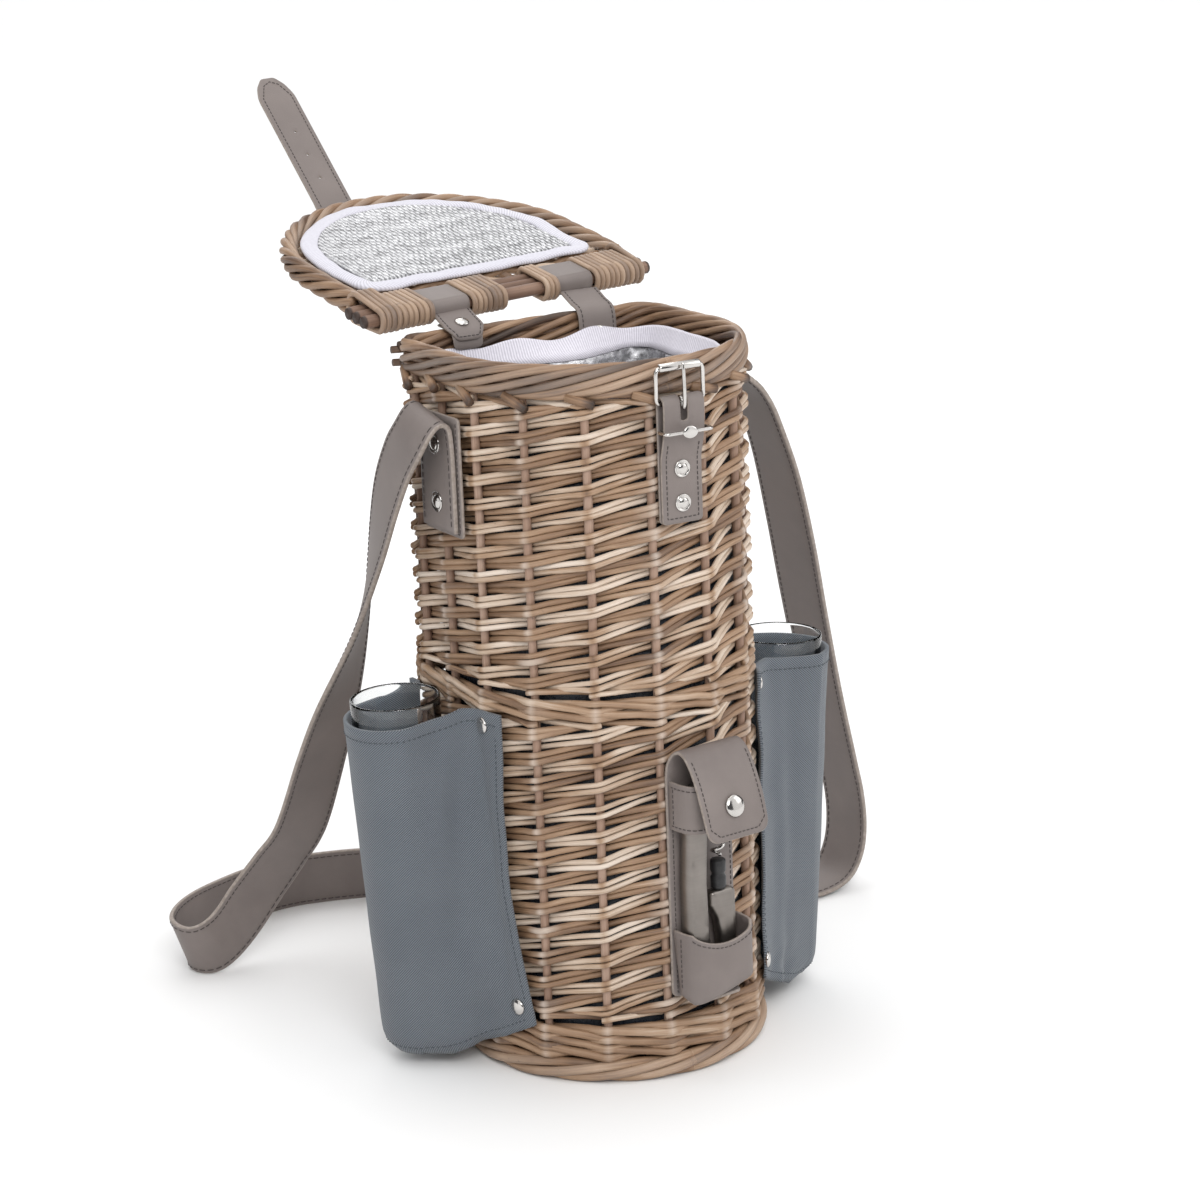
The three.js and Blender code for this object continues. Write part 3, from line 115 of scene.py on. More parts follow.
def set_camera():
    azimuth, elevation, roll = (math.radians(angle) for angle in (AZIMUTH, ELEVATION, ROLL))
    back = Vector((
        math.sin(azimuth) * math.cos(elevation),
        -math.cos(azimuth) * math.cos(elevation),
        math.sin(elevation),
    ))
    level = Vector((math.cos(azimuth), math.sin(azimuth), 0))
    upright = back.cross(level)
    right = level * math.cos(roll) - upright * math.sin(roll)
    top = level * math.sin(roll) + upright * math.cos(roll)
    target = level * TARGET_SIDE + Vector((0, 0, TARGET_HEIGHT))
    data = bpy.data.cameras.new("camera")
    data.sensor_width = 36
    data.lens = LENS
    camera = bpy.data.objects.new("camera", data)
    place = Matrix((right, top, back)).transposed().to_4x4()
    place.translation = target + back * DISTANCE
    camera.matrix_world = place
    bpy.context.scene.collection.objects.link(camera)
    bpy.context.scene.camera = camera


set_camera()


# Node trees of the materials and the background
class Nodes:
    def __init__(self, tree):
        self.tree = tree

    def node(self, kind, inputs=None, **settings):
        made = self.tree.nodes.new(kind)
        for key, value in settings.items():
            setattr(made, key, value)
        for key, value in (inputs or {}).items():
            self.put(made.inputs[key], value)
        return made

    def put(self, socket, value):
        if isinstance(value, bpy.types.NodeSocket):
            self.tree.links.new(value, socket)
        else:
            socket.default_value = value

    def scaled(self, vector, scale):
        return self.node("ShaderNodeVectorMath", {0: vector, 1: scale}, operation="MULTIPLY").outputs[0]

    def noise(self, vector, scale, detail=3.0, rough=0.55):
        inputs = {"Vector": vector, "Scale": scale, "Detail": detail, "Roughness": rough}
        return self.node("ShaderNodeTexNoise", inputs).outputs["Fac"]

    def math(self, operation, a, b=0.0):
        return self.node("ShaderNodeMath", {0: a, 1: b}, operation=operation).outputs[0]

    def sum(self, a, a_share, b, b_share):
        return self.math("ADD", self.math("MULTIPLY", a, a_share), self.math("MULTIPLY", b, b_share))

    def wave(self, phase):
        """A sine that runs from 0 to 1."""
        return self.math("MULTIPLY", self.math("ADD", self.math("SINE", phase), 1.0), 0.5)

    def ramp(self, factor, stops):
        made = self.node("ShaderNodeValToRGB", {"Fac": factor})
        ramp = made.color_ramp
        while len(ramp.elements) < len(stops):
            ramp.elements.new(0.5)
        for element, (at, color) in zip(ramp.elements, stops):
            element.position = at
            element.color = (*color, 1) if not isinstance(color, float) else (color, color, color, 1)
        return made.outputs["Color"]

    def mix(self, factor, a, b, blend="MIX"):
        made = self.node("ShaderNodeMix", data_type="RGBA", blend_type=blend)
        for socket, value in ((made.inputs[0], factor), (made.inputs[6], a), (made.inputs[7], b)):
            if isinstance(value, tuple) and len(value) == 3:
                value = (*value, 1)
            self.put(socket, value)
        return made.outputs[2]


class Look(Nodes):
    """A material, with marks of the mesh to colour it by."""

    def __init__(self, name):
        self.material = bpy.data.materials.new(name)
        self.material.use_nodes = True
        super().__init__(self.material.node_tree)
        self.shader = self.tree.nodes["Principled BSDF"]

    def set(self, **values):
        for key, value in values.items():
            self.put(self.shader.inputs[key.replace("_", " ")], value)

    def mark(self, name, output="Fac"):
        return self.node("ShaderNodeAttribute", attribute_name=name).outputs[output]

    def place(self):
        return self.node("ShaderNodeTexCoord").outputs["Object"]

    def weft(self):
        """Runs across and up the cloth or foil, in millimetres."""
        split = self.node("ShaderNodeSeparateXYZ", {0: self.mark("weft", "Vector")})
        return split.outputs[0], split.outputs[1]

    def bump(self, height, strength, distance, normal=None):
        inputs = {"Height": height, "Strength": strength, "Distance": distance}
        if normal is not None:
            inputs["Normal"] = normal
        return self.node("ShaderNodeBump", inputs).outputs["Normal"]


def wicker(name, stops, rough=0.5):
    look = Look(name)
    grain = look.mark("grain", "Vector")
    streaks = look.noise(look.scaled(grain, (0.035, 1.4, 1.4)), 1.0, 5.0, 0.6)
    patches = look.noise(look.scaled(grain, (0.02, 0.05, 0.05)), 1.0, 3.0)
    tone = look.mark("tone")
    varied = look.math("MULTIPLY", look.math("SUBTRACT", streaks, 0.5), 0.55)
    blotched = look.math("MULTIPLY", look.math("SUBTRACT", patches, 0.5), 0.7)
    level = look.math("ADD", look.math("ADD", tone, varied), blotched)
    color = look.ramp(level, stops)
    specks = look.noise(look.scaled(grain, (0.35, 0.6, 0.6)), 1.0, 2.0)
    dark = look.ramp(specks, [(0.70, 0.0), (0.76, 1.0)])
    color = look.mix(look.math("MULTIPLY", dark, 0.55), color, (0.05, 0.028, 0.018))
    # Painted highlight, with some wear: where a rod is marked, at its bends and outer side, its colour is
    # mixed towards pale.
    worn = look.math("MULTIPLY", look.mark("worn"), 0.55)
    color = look.mix(worn, color, (0.62, 0.54, 0.47))
    look.set(Base_Color=color, Roughness=look.ramp(streaks, [(0.2, rough - 0.08), (0.8, rough + 0.14)]))
    look.set(Normal=look.bump(streaks, 0.35, 0.0006), Specular_IOR_Level=0.55)
    return look.material


WICKER_STOPS = [
    (0.0, (0.030, 0.018, 0.012)),
    (0.22, (0.098, 0.053, 0.031)),
    (0.45, (0.235, 0.139, 0.079)),
    (0.62, (0.330, 0.213, 0.132)),
    (0.82, (0.500, 0.395, 0.305)),
    (1.0, (0.640, 0.545, 0.460)),
]
STAKE_STOPS = [
    (0.0, (0.035, 0.018, 0.012)),
    (0.35, (0.150, 0.085, 0.056)),
    (0.7, (0.285, 0.180, 0.127)),
    (1.0, (0.400, 0.285, 0.220)),
]


def leather():
    look = Look("leather_taupe")
    place = look.place()
    cloud = look.noise(place, 28.0, 4.0)
    pores = look.noise(place, 1500.0, 3.0, 0.6)
    creases = look.node("ShaderNodeTexVoronoi", {"Vector": place, "Scale": 900.0}, feature="DISTANCE_TO_EDGE")
    fine = look.ramp(creases.outputs["Distance"], [(0.0, 0.0), (0.18, 1.0)])
    color = look.ramp(cloud, [(0.3, (0.152, 0.127, 0.118)), (0.7, (0.196, 0.166, 0.154))])
    color = look.mix(look.math("MULTIPLY", pores, 0.25), color, (0.12, 0.10, 0.093))
    cut = look.ramp(look.noise(place, 420.0, 2.0), [(0.3, (0.21, 0.175, 0.15)), (0.7, (0.31, 0.265, 0.235))])
    color = look.mix(look.mark("edge"), color, cut)
    color = look.mix(look.mark("thread"), color, (0.055, 0.045, 0.042))
    look.set(Base_Color=color, Roughness=look.ramp(cloud, [(0.3, 0.52), (0.7, 0.62)]))
    normal = look.bump(fine, 0.12, 0.0002)
    look.set(Normal=look.bump(pores, 0.18, 0.0003, normal), Specular_IOR_Level=0.45)
    return look.material


def canvas():
    look = Look("canvas_slate")
    across, up = look.weft()
    wander = look.noise(look.place(), 260.0, 2.0)
    twill = look.wave(look.sum(look.math("ADD", across, up), 4.6, wander, 1.6))
    broken = look.wave(look.math("MULTIPLY", look.math("SUBTRACT", across, up), 4.6))
    weave = look.sum(twill, 0.75, broken, 0.25)
    cloud = look.noise(look.place(), 22.0, 3.0)
    color = look.ramp(weave, [(0.2, (0.036, 0.044, 0.054)), (0.8, (0.178, 0.198, 0.222))])
    shade = look.ramp(cloud, [(0.3, (0.86, 0.87, 0.89)), (0.7, (1.0, 1.0, 1.0))])
    color = look.mix(1.0, color, shade, "MULTIPLY")
    color = look.mix(look.mark("thread"), color, (0.045, 0.055, 0.066))
    look.set(Base_Color=color, Roughness=0.82, Sheen_Weight=0.15, Sheen_Roughness=0.5)
    look.set(Normal=look.bump(weave, 0.5, 0.0005))
    return look.material


def ribbed_cloth(name, dark, light, ribs):
    look = Look(name)
    rib = look.wave(look.math("MULTIPLY", look.weft()[0], ribs))
    level = look.sum(rib, 0.5, look.noise(look.place(), 700.0, 3.0), 0.5)
    look.set(Base_Color=look.ramp(level, [(0.25, dark), (0.75, light)]), Roughness=0.85, Sheen_Weight=0.2)
    look.set(Normal=look.bump(level, 0.3, 0.0004))
    return look.material


def foil(name, ribs, light):
    """Crumpled foil, or quilted foil where ribs is large. Points marked as edge are its outside: dark cloth,
    partly painted shade, made near black for the dark seen between the rods.
    """
    look = Look(name)
    across, up = look.weft()
    place = look.place()
    crumple = look.noise(place, 210.0, 5.0, 0.65)
    fine = look.noise(place, 900.0, 3.0, 0.6)
    glints = look.noise(place, 520.0, 2.0)
    wander = look.math("MULTIPLY", look.noise(place, 60.0, 3.0), 5.0)
    rib = look.wave(look.math("ADD", look.math("MULTIPLY", across, ribs), wander))
    bands = look.math("SINE", look.math("ADD", look.math("MULTIPLY", up, 0.27), wander))
    level = look.sum(rib, 0.4, crumple, 1.1)
    level = look.math("ADD", level, look.math("MULTIPLY", bands, 0.06))
    stops = [(0.45, (0.15, 0.15, 0.155)), (0.68, (0.42, 0.42, 0.44)), (0.92, (0.76, 0.76, 0.78))]
    color = look.ramp(level, [(at, tuple(c * light for c in tone)) for at, tone in stops])
    # Painted shade in part: the bag's outside is dark cloth, darkened further so the gaps in the weave look
    # shaded.
    outside = look.mark("edge")
    color = look.mix(outside, color, (0.022, 0.026, 0.034))
    look.set(Metallic=look.math("MULTIPLY", look.math("SUBTRACT", 1.0, outside), 0.72))
    look.set(Base_Color=color, Roughness=look.ramp(glints, [(0.35, 0.22), (0.7, 0.48)]))
    normal = look.bump(crumple, 0.7, 0.0016)
    normal = look.bump(fine, 0.35, 0.0005, normal)
    look.set(Normal=look.bump(rib, 0.5, 0.0008, normal))
    return look.material


def metal(name, color, rough, streaks=(1.0, 1.0, 1.0), wear=0.06):
    look = Look(name)
    place = look.place()
    brushed = look.noise(look.scaled(place, streaks), 420.0, 4.0, 0.6)
    dull = look.noise(place, 60.0, 3.0)
    tint = tuple(c * 0.82 for c in color)
    look.set(Base_Color=look.ramp(dull, [(0.3, tint), (0.7, color)]), Metallic=1.0)
    look.set(Roughness=look.ramp(brushed, [(0.3, rough), (0.7, rough + wear)]))
    look.set(Normal=look.bump(brushed, 0.06, 0.0002))
    return look.material


def plastic():
    look = Look("hub_plastic")
    speck = look.noise(look.place(), 1800.0, 2.0)
    look.set(Base_Color=look.ramp(speck, [(0.3, (0.011, 0.011, 0.012)), (0.7, (0.02, 0.02, 0.021))]))
    look.set(Roughness=0.42, Normal=look.bump(speck, 0.1, 0.0002))
    return look.material


def glass():
    look = Look("clear_glass")
    smear = look.noise(look.place(), 40.0, 3.0)
    look.set(Base_Color=(0.97, 0.985, 0.985, 1), Transmission_Weight=1.0, IOR=1.47)
    look.set(Roughness=look.ramp(smear, [(0.4, 0.0), (0.75, 0.012)]))
    return look.material


LOOKS = {
    "wicker": wicker("willow", WICKER_STOPS),
    "stake": wicker("stake_willow", STAKE_STOPS, 0.6),
    "leather": leather(),
    "canvas": canvas(),
    "binding": ribbed_cloth("binding_cloth", (0.43, 0.42, 0.47), (0.60, 0.59, 0.65), 3.4),
    "lining": ribbed_cloth("collar_cloth", (0.47, 0.45, 0.51), (0.68, 0.66, 0.72), 4.0),
    "foil": foil("crumpled_foil", 0.02, 1.0),
    "quilt": foil("quilted_foil", 2.3, 0.71),
    "nickel": metal("nickel", (0.66, 0.635, 0.61), 0.12),
    "steel": metal("brushed_tool_steel", (0.27, 0.245, 0.225), 0.30, (0.15, 0.15, 3.0), 0.18),
    "plastic": plastic(),
    "glass": glass(),
}


# Meshes: points are in millimetres until a piece is made
WIDE_MARKS = ("grain", "weft")


class Shell:
    """Collects tubes, strips and turned shapes of one piece, with a few marks on their points."""

    def __init__(self):
        self.points = []
        self.faces = []
        self.marks = {}
        self.count = 0

    def add(self, points, faces, **marks):
        points = np.asarray(points, float).reshape(-1, 3)
        n = len(points)
        self.points.append(points)
        self.faces.extend([tuple(i + self.count for i in face) for face in faces])
        for name, value in marks.items():
            value = np.broadcast_to(np.asarray(value, float), (n, 3) if name in WIDE_MARKS else (n,))
            self.marks.setdefault(name, []).append((self.count, value))
        self.count += n

    def piece(self, name, body, look, slot, *nodes, change=None):
        points = np.concatenate(self.points)
        if change is not None:
            points = change(points)
        mesh = bpy.data.meshes.new(name)
        mesh.from_pydata((points * 0.001).tolist(), [], self.faces)
        outward = bmesh.new()
        outward.from_mesh(mesh)
        bmesh.ops.recalc_face_normals(outward, faces=outward.faces)
        outward.to_mesh(mesh)
        outward.free()
        for mark, runs in self.marks.items():
            wide = mark in WIDE_MARKS
            values = np.zeros((self.count, 3) if wide else self.count, np.float32)
            for start, value in runs:
                values[start : start + len(value)] = value
            kind = "FLOAT_VECTOR" if wide else "FLOAT"
            field = mesh.attributes.new(mark, kind, "POINT")
            field.data.foreach_set("vector" if wide else "value", values.ravel())
        mesh.shade_smooth()
        made = bpy.data.objects.new(name, mesh)
        mesh.materials.append(LOOKS[look])
        bpy.context.scene.collection.objects.link(made)
        if body is not None:
            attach(made, body)
        if nodes:
            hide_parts(*nodes)
        return made


def ring_faces(rings, sides, closed=False, caps=True):
    faces = []
    for i in range(rings if closed else rings - 1):
        a, b = i * sides, ((i + 1) % rings) * sides
        for k in range(sides):
            m = (k + 1) % sides
            faces.append((a + k, a + m, b + m, b + k))
    if caps and not closed:
        faces.append(tuple(range(sides))[::-1])
        faces.append(tuple((rings - 1) * sides + k for k in range(sides)))
    return faces


def lengths(line, closed=False):
    ahead = np.roll(line, -1, 0) if closed else line[1:]
    steps = np.linalg.norm(ahead - (line if closed else line[:-1]), axis=1)
    return np.concatenate([[0], np.cumsum(steps)])


def tangents(line, closed=False):
    if closed:
        return unit(np.roll(line, -1, 0) - np.roll(line, 1, 0))
    ends = np.concatenate([line[:1], line, line[-1:]])
    return unit(ends[2:] - ends[:-2])


def frames(line, closed=False):
    """Directions across a line that turn as little as they can."""
    along = tangents(line, closed)
    first = np.cross(along[0], UP)
    if np.linalg.norm(first) < 0.1:
        first = np.cross(along[0], (1.0, 0, 0))
    side = [unit(first)]
    for t in along[1:]:
        side.append(unit(side[-1] - t * np.dot(side[-1], t)))
    side = np.array(side)
    if closed:
        other = np.cross(along[0], side[0])
        last = side[-1] - along[0] * np.dot(side[-1], along[0])
        slip = math.atan2(np.dot(last, other), np.dot(last, side[0]))
        turn = -slip * np.linspace(0, 1, len(line), endpoint=False)[:, None]
        side = side * np.cos(turn) + np.cross(along, side) * np.sin(turn)
    return side, np.cross(along, side)


def tube(shell, line, radius, sides=8, closed=False, tone=0.5, worn=0.0, **marks):
    """A rod along a line. Radius, tone and the painted highlight with wear are one number or one for each
    place.
    """
    line = np.asarray(line, float)
    n = len(line)
    side, other = frames(line, closed)
    radius, tone, worn = (np.broadcast_to(np.asarray(v, float), (n,)) for v in (radius, tone, worn))
    angle = np.arange(sides) * 2 * math.pi / sides
    ring = side[:, None] * np.cos(angle)[None, :, None] + other[:, None] * np.sin(angle)[None, :, None]
    points = line[:, None] + ring * radius[:, None, None]
    run = lengths(line, closed)[:n]
    around = np.broadcast_to(np.stack([np.cos(angle), np.sin(angle)], 1) * 2, (n, sides, 2))
    grain = np.concatenate([np.broadcast_to(run[:, None, None], (n, sides, 1)), around], 2)
    marks["grain"] = grain.reshape(-1, 3) + rng.uniform(0, 900)
    marks["tone"] = np.repeat(tone, sides)
    marks["worn"] = np.repeat(worn, sides)
    shell.add(points, ring_faces(n, sides, closed), **marks)


def lathe(shell, profile, at, axis, sides=24, **marks):
    """A turned shape: profile rows are distance out and height, starting and ending on the axis."""
    axis = unit(axis)
    helper = np.array([1.0, 0, 0]) if abs(axis[0]) < 0.9 else np.array([0, 1.0, 0])
    a = unit(np.cross(helper, axis))
    b = np.cross(axis, a)
    angle = np.arange(sides) * 2 * math.pi / sides
    ring = a * np.cos(angle)[:, None] + b * np.sin(angle)[:, None]
    rows = profile[1:-1]
    at = np.asarray(at, float)
    ends = [at + axis * profile[0][1], at + axis * profile[-1][1]]
    points = np.concatenate([at + axis * h + ring * r for r, h in rows] + [ends])
    faces = ring_faces(len(rows), sides, caps=False)
    low, high = len(rows) * sides, len(rows) * sides + 1
    for k in range(sides):
        m = (k + 1) % sides
        faces.append((low, m, k))
        faces.append((high, (len(rows) - 1) * sides + k, (len(rows) - 1) * sides + m))
    shell.add(points, faces, **marks)


def smooth_line(rows, count, closed=False):
    """Points at even spacing on a smooth curve through the rows."""
    rows = np.asarray(rows, float)
    n = len(rows)
    spans = n if closed else n - 1
    fine = []
    for i in range(spans):
        p = [rows[(i + k) % n] if closed else rows[min(max(i + k, 0), n - 1)] for k in (-1, 0, 1, 2)]
        t = np.linspace(0, 1, 12, endpoint=False)[:, None]
        fine.append(0.5 * (
            2 * p[1] + (p[2] - p[0]) * t
            + (2 * p[0] - 5 * p[1] + 4 * p[2] - p[3]) * t**2
            + (3 * p[1] - p[0] - 3 * p[2] + p[3]) * t**3
        ))
    fine = np.concatenate(fine + ([] if closed else [rows[-1:]]))
    run = lengths(fine[:, :3], closed)
    if closed:
        fine = np.concatenate([fine, fine[:1]])
    want = np.linspace(0, run[-1], count, endpoint=not closed)
    return np.stack([np.interp(want, run, fine[:, k]) for k in range(fine.shape[1])], 1)


def waves(points, scale, seed=0, terms=9):
    """A smooth wander between about -1 and 1 over space, the same each run."""
    local = np.random.default_rng(100 + seed)
    points = np.asarray(points, float)
    total = np.zeros(points.shape[:-1])
    for _ in range(terms):
        direction = local.normal(size=3) / scale
        total = total + np.sin(points @ direction * 2 + local.uniform(0, 6.283))
    return total / math.sqrt(terms)


# Flat pieces of leather and cloth
def rounded(corners, radii, steps=5):
    """A plane outline with its corners cut round."""
    corners = np.asarray(corners, float)
    n = len(corners)
    radii = np.broadcast_to(np.asarray(radii, float), (n,))
    line = []
    for i in range(n):
        corner, before, after = corners[i], corners[i - 1] - corners[i], corners[(i + 1) % n] - corners[i]
        if radii[i] <= 0:
            line.append(corner)
            continue
        a, b = unit(before), unit(after)
        half = math.acos(max(-1, min(1, float(a @ b)))) / 2
        reach = min(radii[i] / math.tan(half), 0.48 * np.linalg.norm(before), 0.48 * np.linalg.norm(after))
        for t in np.linspace(0, 1, steps + 1):
            line.append(corner + a * reach * (1 - t) ** 2 + b * reach * t**2)
    return np.array(line)


def densified(ring, step):
    line = []
    for a, b in zip(ring, np.roll(ring, -1, 0)):
        pieces = max(1, math.ceil(np.linalg.norm(b - a) / step))
        line += [a + (b - a) * k / pieces for k in range(pieces)]
    return np.array(line)


def turned(ring, sign):
    """The ring running anticlockwise for a positive sign."""
    ring = np.asarray(ring, float)
    x, y = ring.T
    area = np.sum(x * np.roll(y, -1) - np.roll(x, -1) * y)
    return ring if area * sign > 0 else ring[::-1]


def inset(ring, by):
    ahead = unit(np.roll(ring, -1, 0) - np.roll(ring, 1, 0))
    return ring + np.stack([-ahead[:, 1], ahead[:, 0]], 1) * by


def inside(points, ring):
    x, y = points[:, 0, None], points[:, 1, None]
    (x0, y0), (x1, y1) = ring.T, np.roll(ring, -1, 0).T
    crosses = (y0 > y) != (y1 > y)
    at = x0 + (y - y0) * (x1 - x0) / np.where(y1 == y0, 1e-12, y1 - y0)
    return np.sum(crosses & (x < at), axis=1) % 2 == 1


def plate(shell, place, outline, thick, holes=(), bevel=0.45, step=3.0, puff=None):
    """A sheet with the given outline and holes, laid by place(across, along, out of the face)."""
    rings = [densified(turned(outline, 1), step)] + [densified(turned(h, -1), 1.2) for h in holes]
    inner = [inset(ring, bevel) for ring in rings]

    def on_sheet(points):
        kept = inside(points, inner[0])
        for hole in inner[1:]:
            kept &= ~inside(points, hole)
        return kept

    low, high = rings[0].min(0), rings[0].max(0)
    grid = np.stack(np.meshgrid(
        np.arange(low[0] + step / 2, high[0], step),
        np.arange(low[1] + step / 2, high[1], step),
    ), -1).reshape(-1, 2)
    border = np.concatenate(inner)
    grid = grid[on_sheet(grid)]
    near = np.array([np.min(np.sum((border - g) ** 2, 1)) for g in grid])
    grid = grid[near > (step * 0.45) ** 2]
    flat = np.concatenate([border, grid])
    edges, start = [], 0
    for ring in inner:
        n = len(ring)
        edges += [(start + k, start + (k + 1) % n) for k in range(n)]
        start += n
    found = delaunay_2d_cdt([Vector(p) for p in flat], edges, [], 0, 1e-5)
    origin = [o[0] if o else -1 for o in found[3]]
    faces = [tuple(origin[i] for i in face) for face in found[2] if all(origin[i] >= 0 for i in face)]
    middles = np.array([flat[list(face)].mean(0) for face in faces])
    faces = [face for face, kept in zip(faces, on_sheet(middles)) if kept]

    # the two faces, then two rings along each edge between them
    n = len(flat)
    half = thick / 2
    u, v = flat.T
    rise = puff(u, v) if puff else 0.0
    blocks = [place(u, v, half + rise), place(u, v, -half)]
    uv = [flat, flat]
    marks = [np.zeros(2 * n)]
    faces = faces + [tuple(i + n for i in face[::-1]) for face in faces]
    at = 2 * n
    start = 0
    for ring in rings:
        m = len(ring)
        for w in (half - bevel, bevel - half):
            blocks.append(place(ring[:, 0], ring[:, 1], w))
            uv.append(ring)
            marks.append(np.ones(m))
        for k in range(m):
            j = (k + 1) % m
            faces.append((start + k, at + k, at + j, start + j))
            faces.append((at + k, at + m + k, at + m + j, at + j))
            faces.append((at + m + k, n + start + k, n + start + j, at + m + j))
        at += 2 * m
        start += m
    weft = np.concatenate(uv)
    weft = np.column_stack([weft, np.zeros(len(weft))])
    shell.add(np.concatenate(blocks), faces, edge=np.concatenate(marks), weft=weft, thread=0.0)


class Ribbon:
    """The middle line of a bent flat piece, with the directions across it and out of its face."""

    def __init__(self, line, across):
        self.line = np.asarray(line, float)
        along = tangents(self.line)
        across = np.broadcast_to(np.asarray(across, float), self.line.shape)
        self.normal = unit(np.cross(across, along))
        self.across = unit(np.cross(along, self.normal))
        self.run = lengths(self.line)
        self.length = self.run[-1]

    def place(self, u, v, w):
        u, v, w = (np.asarray(x, float) for x in np.broadcast_arrays(u, v, w))
        fields = []
        for field in (self.line, self.across, self.normal):
            fields.append(np.stack([np.interp(v, self.run, field[:, k]) for k in range(3)], -1))
        return fields[0] + fields[1] * u[..., None] + fields[2] * w[..., None]


def stitches(shell, place, line, w, pitch=3.6, share=0.66, radius=0.3):
    """Short threads along a line of places across and along a flat piece, on its face at w."""
    line = np.asarray(line, float)
    run = lengths(line)
    face = 1 if w > 0 else -1
    count = max(1, int(run[-1] / pitch))
    pitch = run[-1] / count
    for k in range(count):
        s = (np.array([0.0, 0.12, 0.5, 0.88, 1.0]) * share + k + (1 - share) / 2) * pitch
        u, v = (np.interp(s, run, line[:, i]) for i in (0, 1))
        lift = np.array([-0.3, 0.1, 0.16, 0.1, -0.3]) * face
        tube(shell, place(u, v, w + lift), radius, 5, thread=1.0, edge=0.0)


def stud(name, body, node, at, out, r, high, ringed=False, change=None):
    """A rivet's domed head on its seat, plain or inside a raised ring."""
    profile = [(0, -1.2), (r * 0.6, -1.2), (r * 0.97, -0.2), (r, 0.15)]
    base, wide = 0.4, 1.0
    if ringed:
        profile += [(r * 0.96, 0.62), (r * 0.88, 0.85), (r * 0.79, 0.72), (r * 0.70, 0.25)]
        base, wide = 0.3, 0.64
    for share in (0.97, 0.88, 0.72, 0.5, 0.25):
        profile.append((r * wide * share, base + high * math.sqrt(1 - share**2)))
    profile.append((0, base + high))
    shell = Shell()
    lathe(shell, profile, at, out, 36)
    nodes = [node] if node else []
    shell.piece(name, body, "nickel", "nickel", *nodes, change=change)


def even_outline(side, radii):
    """A rounded outline from the corners of its right side. Its left side is their mirror image."""
    corners = [(-side[0][0], side[0][1])] + side + [(-u, v) for u, v in side[:0:-1]]
    return rounded(corners, [radii[0]] + radii + radii[:0:-1])


def mirrored(side):
    """A row of places that runs along the left, across the middle and back along the right side."""
    return [(-u, v) for u, v in side] + side[::-1]


def cup(shell, rings, floor, **marks):
    """Closed rings joined in turn. Two floors, at the ring named and the next, replace the faces between."""
    count, sides = rings.shape[:2]
    faces = [f for i, f in enumerate(ring_faces(count, sides, closed=True)) if i // sides != floor]
    faces += [tuple(i * sides + k for k in range(sides)) for i in (floor, floor + 1)]
    shell.add(rings, faces, **marks)


def edge_section(width, thick, round_by=0.5):
    """A flat band's section, with its edges rounded."""
    w, t = width / 2, thick / 2
    r = min(round_by, t * 0.95)
    rows = [(w - r, t), (w - 0.3 * r, t - 0.3 * r), (w, t - r)]
    rows += [(x, -z) for x, z in rows[::-1]]
    inner = [(w * f, -t) for f in (0.5, 0.0, -0.5)]
    return np.array(rows + inner + [(-x, -z) for x, z in rows + inner])


def swept(line, side, out, section):
    """Rings of a section carried along a line: its width lies along side and its height along out."""
    side, out = (np.broadcast_to(v, line.shape)[:, None] for v in (side, out))
    return line[:, None] + side * section[None, :, 0, None] + out * section[None, :, 1, None]


def open_lid(points):
    """Lid pieces are drawn closed and shown turned back about the hinge."""
    skew, roll = math.radians(LID_SKEW), math.radians(LID_ROLL)
    axis = Vector((math.cos(skew), math.sin(skew), math.tan(roll))).normalized()
    turn = np.array(Matrix.Rotation(-math.radians(LID_OPEN), 3, axis))
    hinge = np.array([0, HINGE_Y, LID_Z])
    return (np.asarray(points, float) - hinge) @ turn.T + hinge


class Plan:
    """A closed D in plan: a round front about a centre, straight sides, and a back with round corners."""

    def __init__(self, radius, back, corner, centre=FRONT_Y):
        self.radius = radius
        self.corner = corner
        self.centre = centre
        self.side = back - corner - centre
        self.quarter = radius * math.pi / 2
        self.bend = corner * math.pi / 2
        self.around = 2 * (self.quarter + self.side + self.bend) + 2 * (radius - corner)

    def at(self, run, out=0.0):
        """Places at a run from the front middle towards +X, moved outwards by out."""
        run = np.mod(np.asarray(run, float), self.around)
        mirror = run > self.around / 2
        s = np.where(mirror, self.around - run, run)
        straight = self.quarter + self.side
        past = s - straight - self.bend
        inner = self.radius - self.corner
        front = s / self.radius
        turn = np.clip((s - straight) / self.corner, 0, math.pi / 2)
        at_corner = np.where(past < 0, inner + (self.corner + out) * np.cos(turn), inner - past)
        x = np.where(s < straight, self.radius + out, at_corner)
        x = np.where(s < self.quarter, (self.radius + out) * np.sin(front), x)
        y = self.centre + self.side + (self.corner + out) * np.sin(turn)
        y = np.where(s < straight, self.centre + s - self.quarter, y)
        y = np.where(s < self.quarter, self.centre - (self.radius + out) * np.cos(front), y)
        return np.stack([np.where(mirror, -x, x), y], -1)

    def ring(self, count):
        return self.at(np.arange(count) / count * self.around)


# The wall's middle line, and the stakes in order along it from the left corner post
WALL_LINE = Plan(FRONT_R - WALL / 2, BACK_Y - WALL / 2, BACK_CORNER - 2)
AROUND = WALL_LINE.around
POST_RUN = WALL_LINE.quarter + WALL_LINE.side + WALL_LINE.bend / 2
STAKE_RUNS = [-POST_RUN, -180.2, -150.1]
STAKE_RUNS += [(k * 36 - 14) * WALL_LINE.radius / FRONT_R for k in range(-3, 4)]
STAKE_RUNS += [122.4, 158.1, POST_RUN, AROUND / 2 - 36, AROUND / 2, AROUND / 2 + 36]
STAKE_RUNS = np.array(STAKE_RUNS)
STAKES = len(STAKE_RUNS)
POSTS = (0, 12)
BRIDGE = (0.33, 0.67)


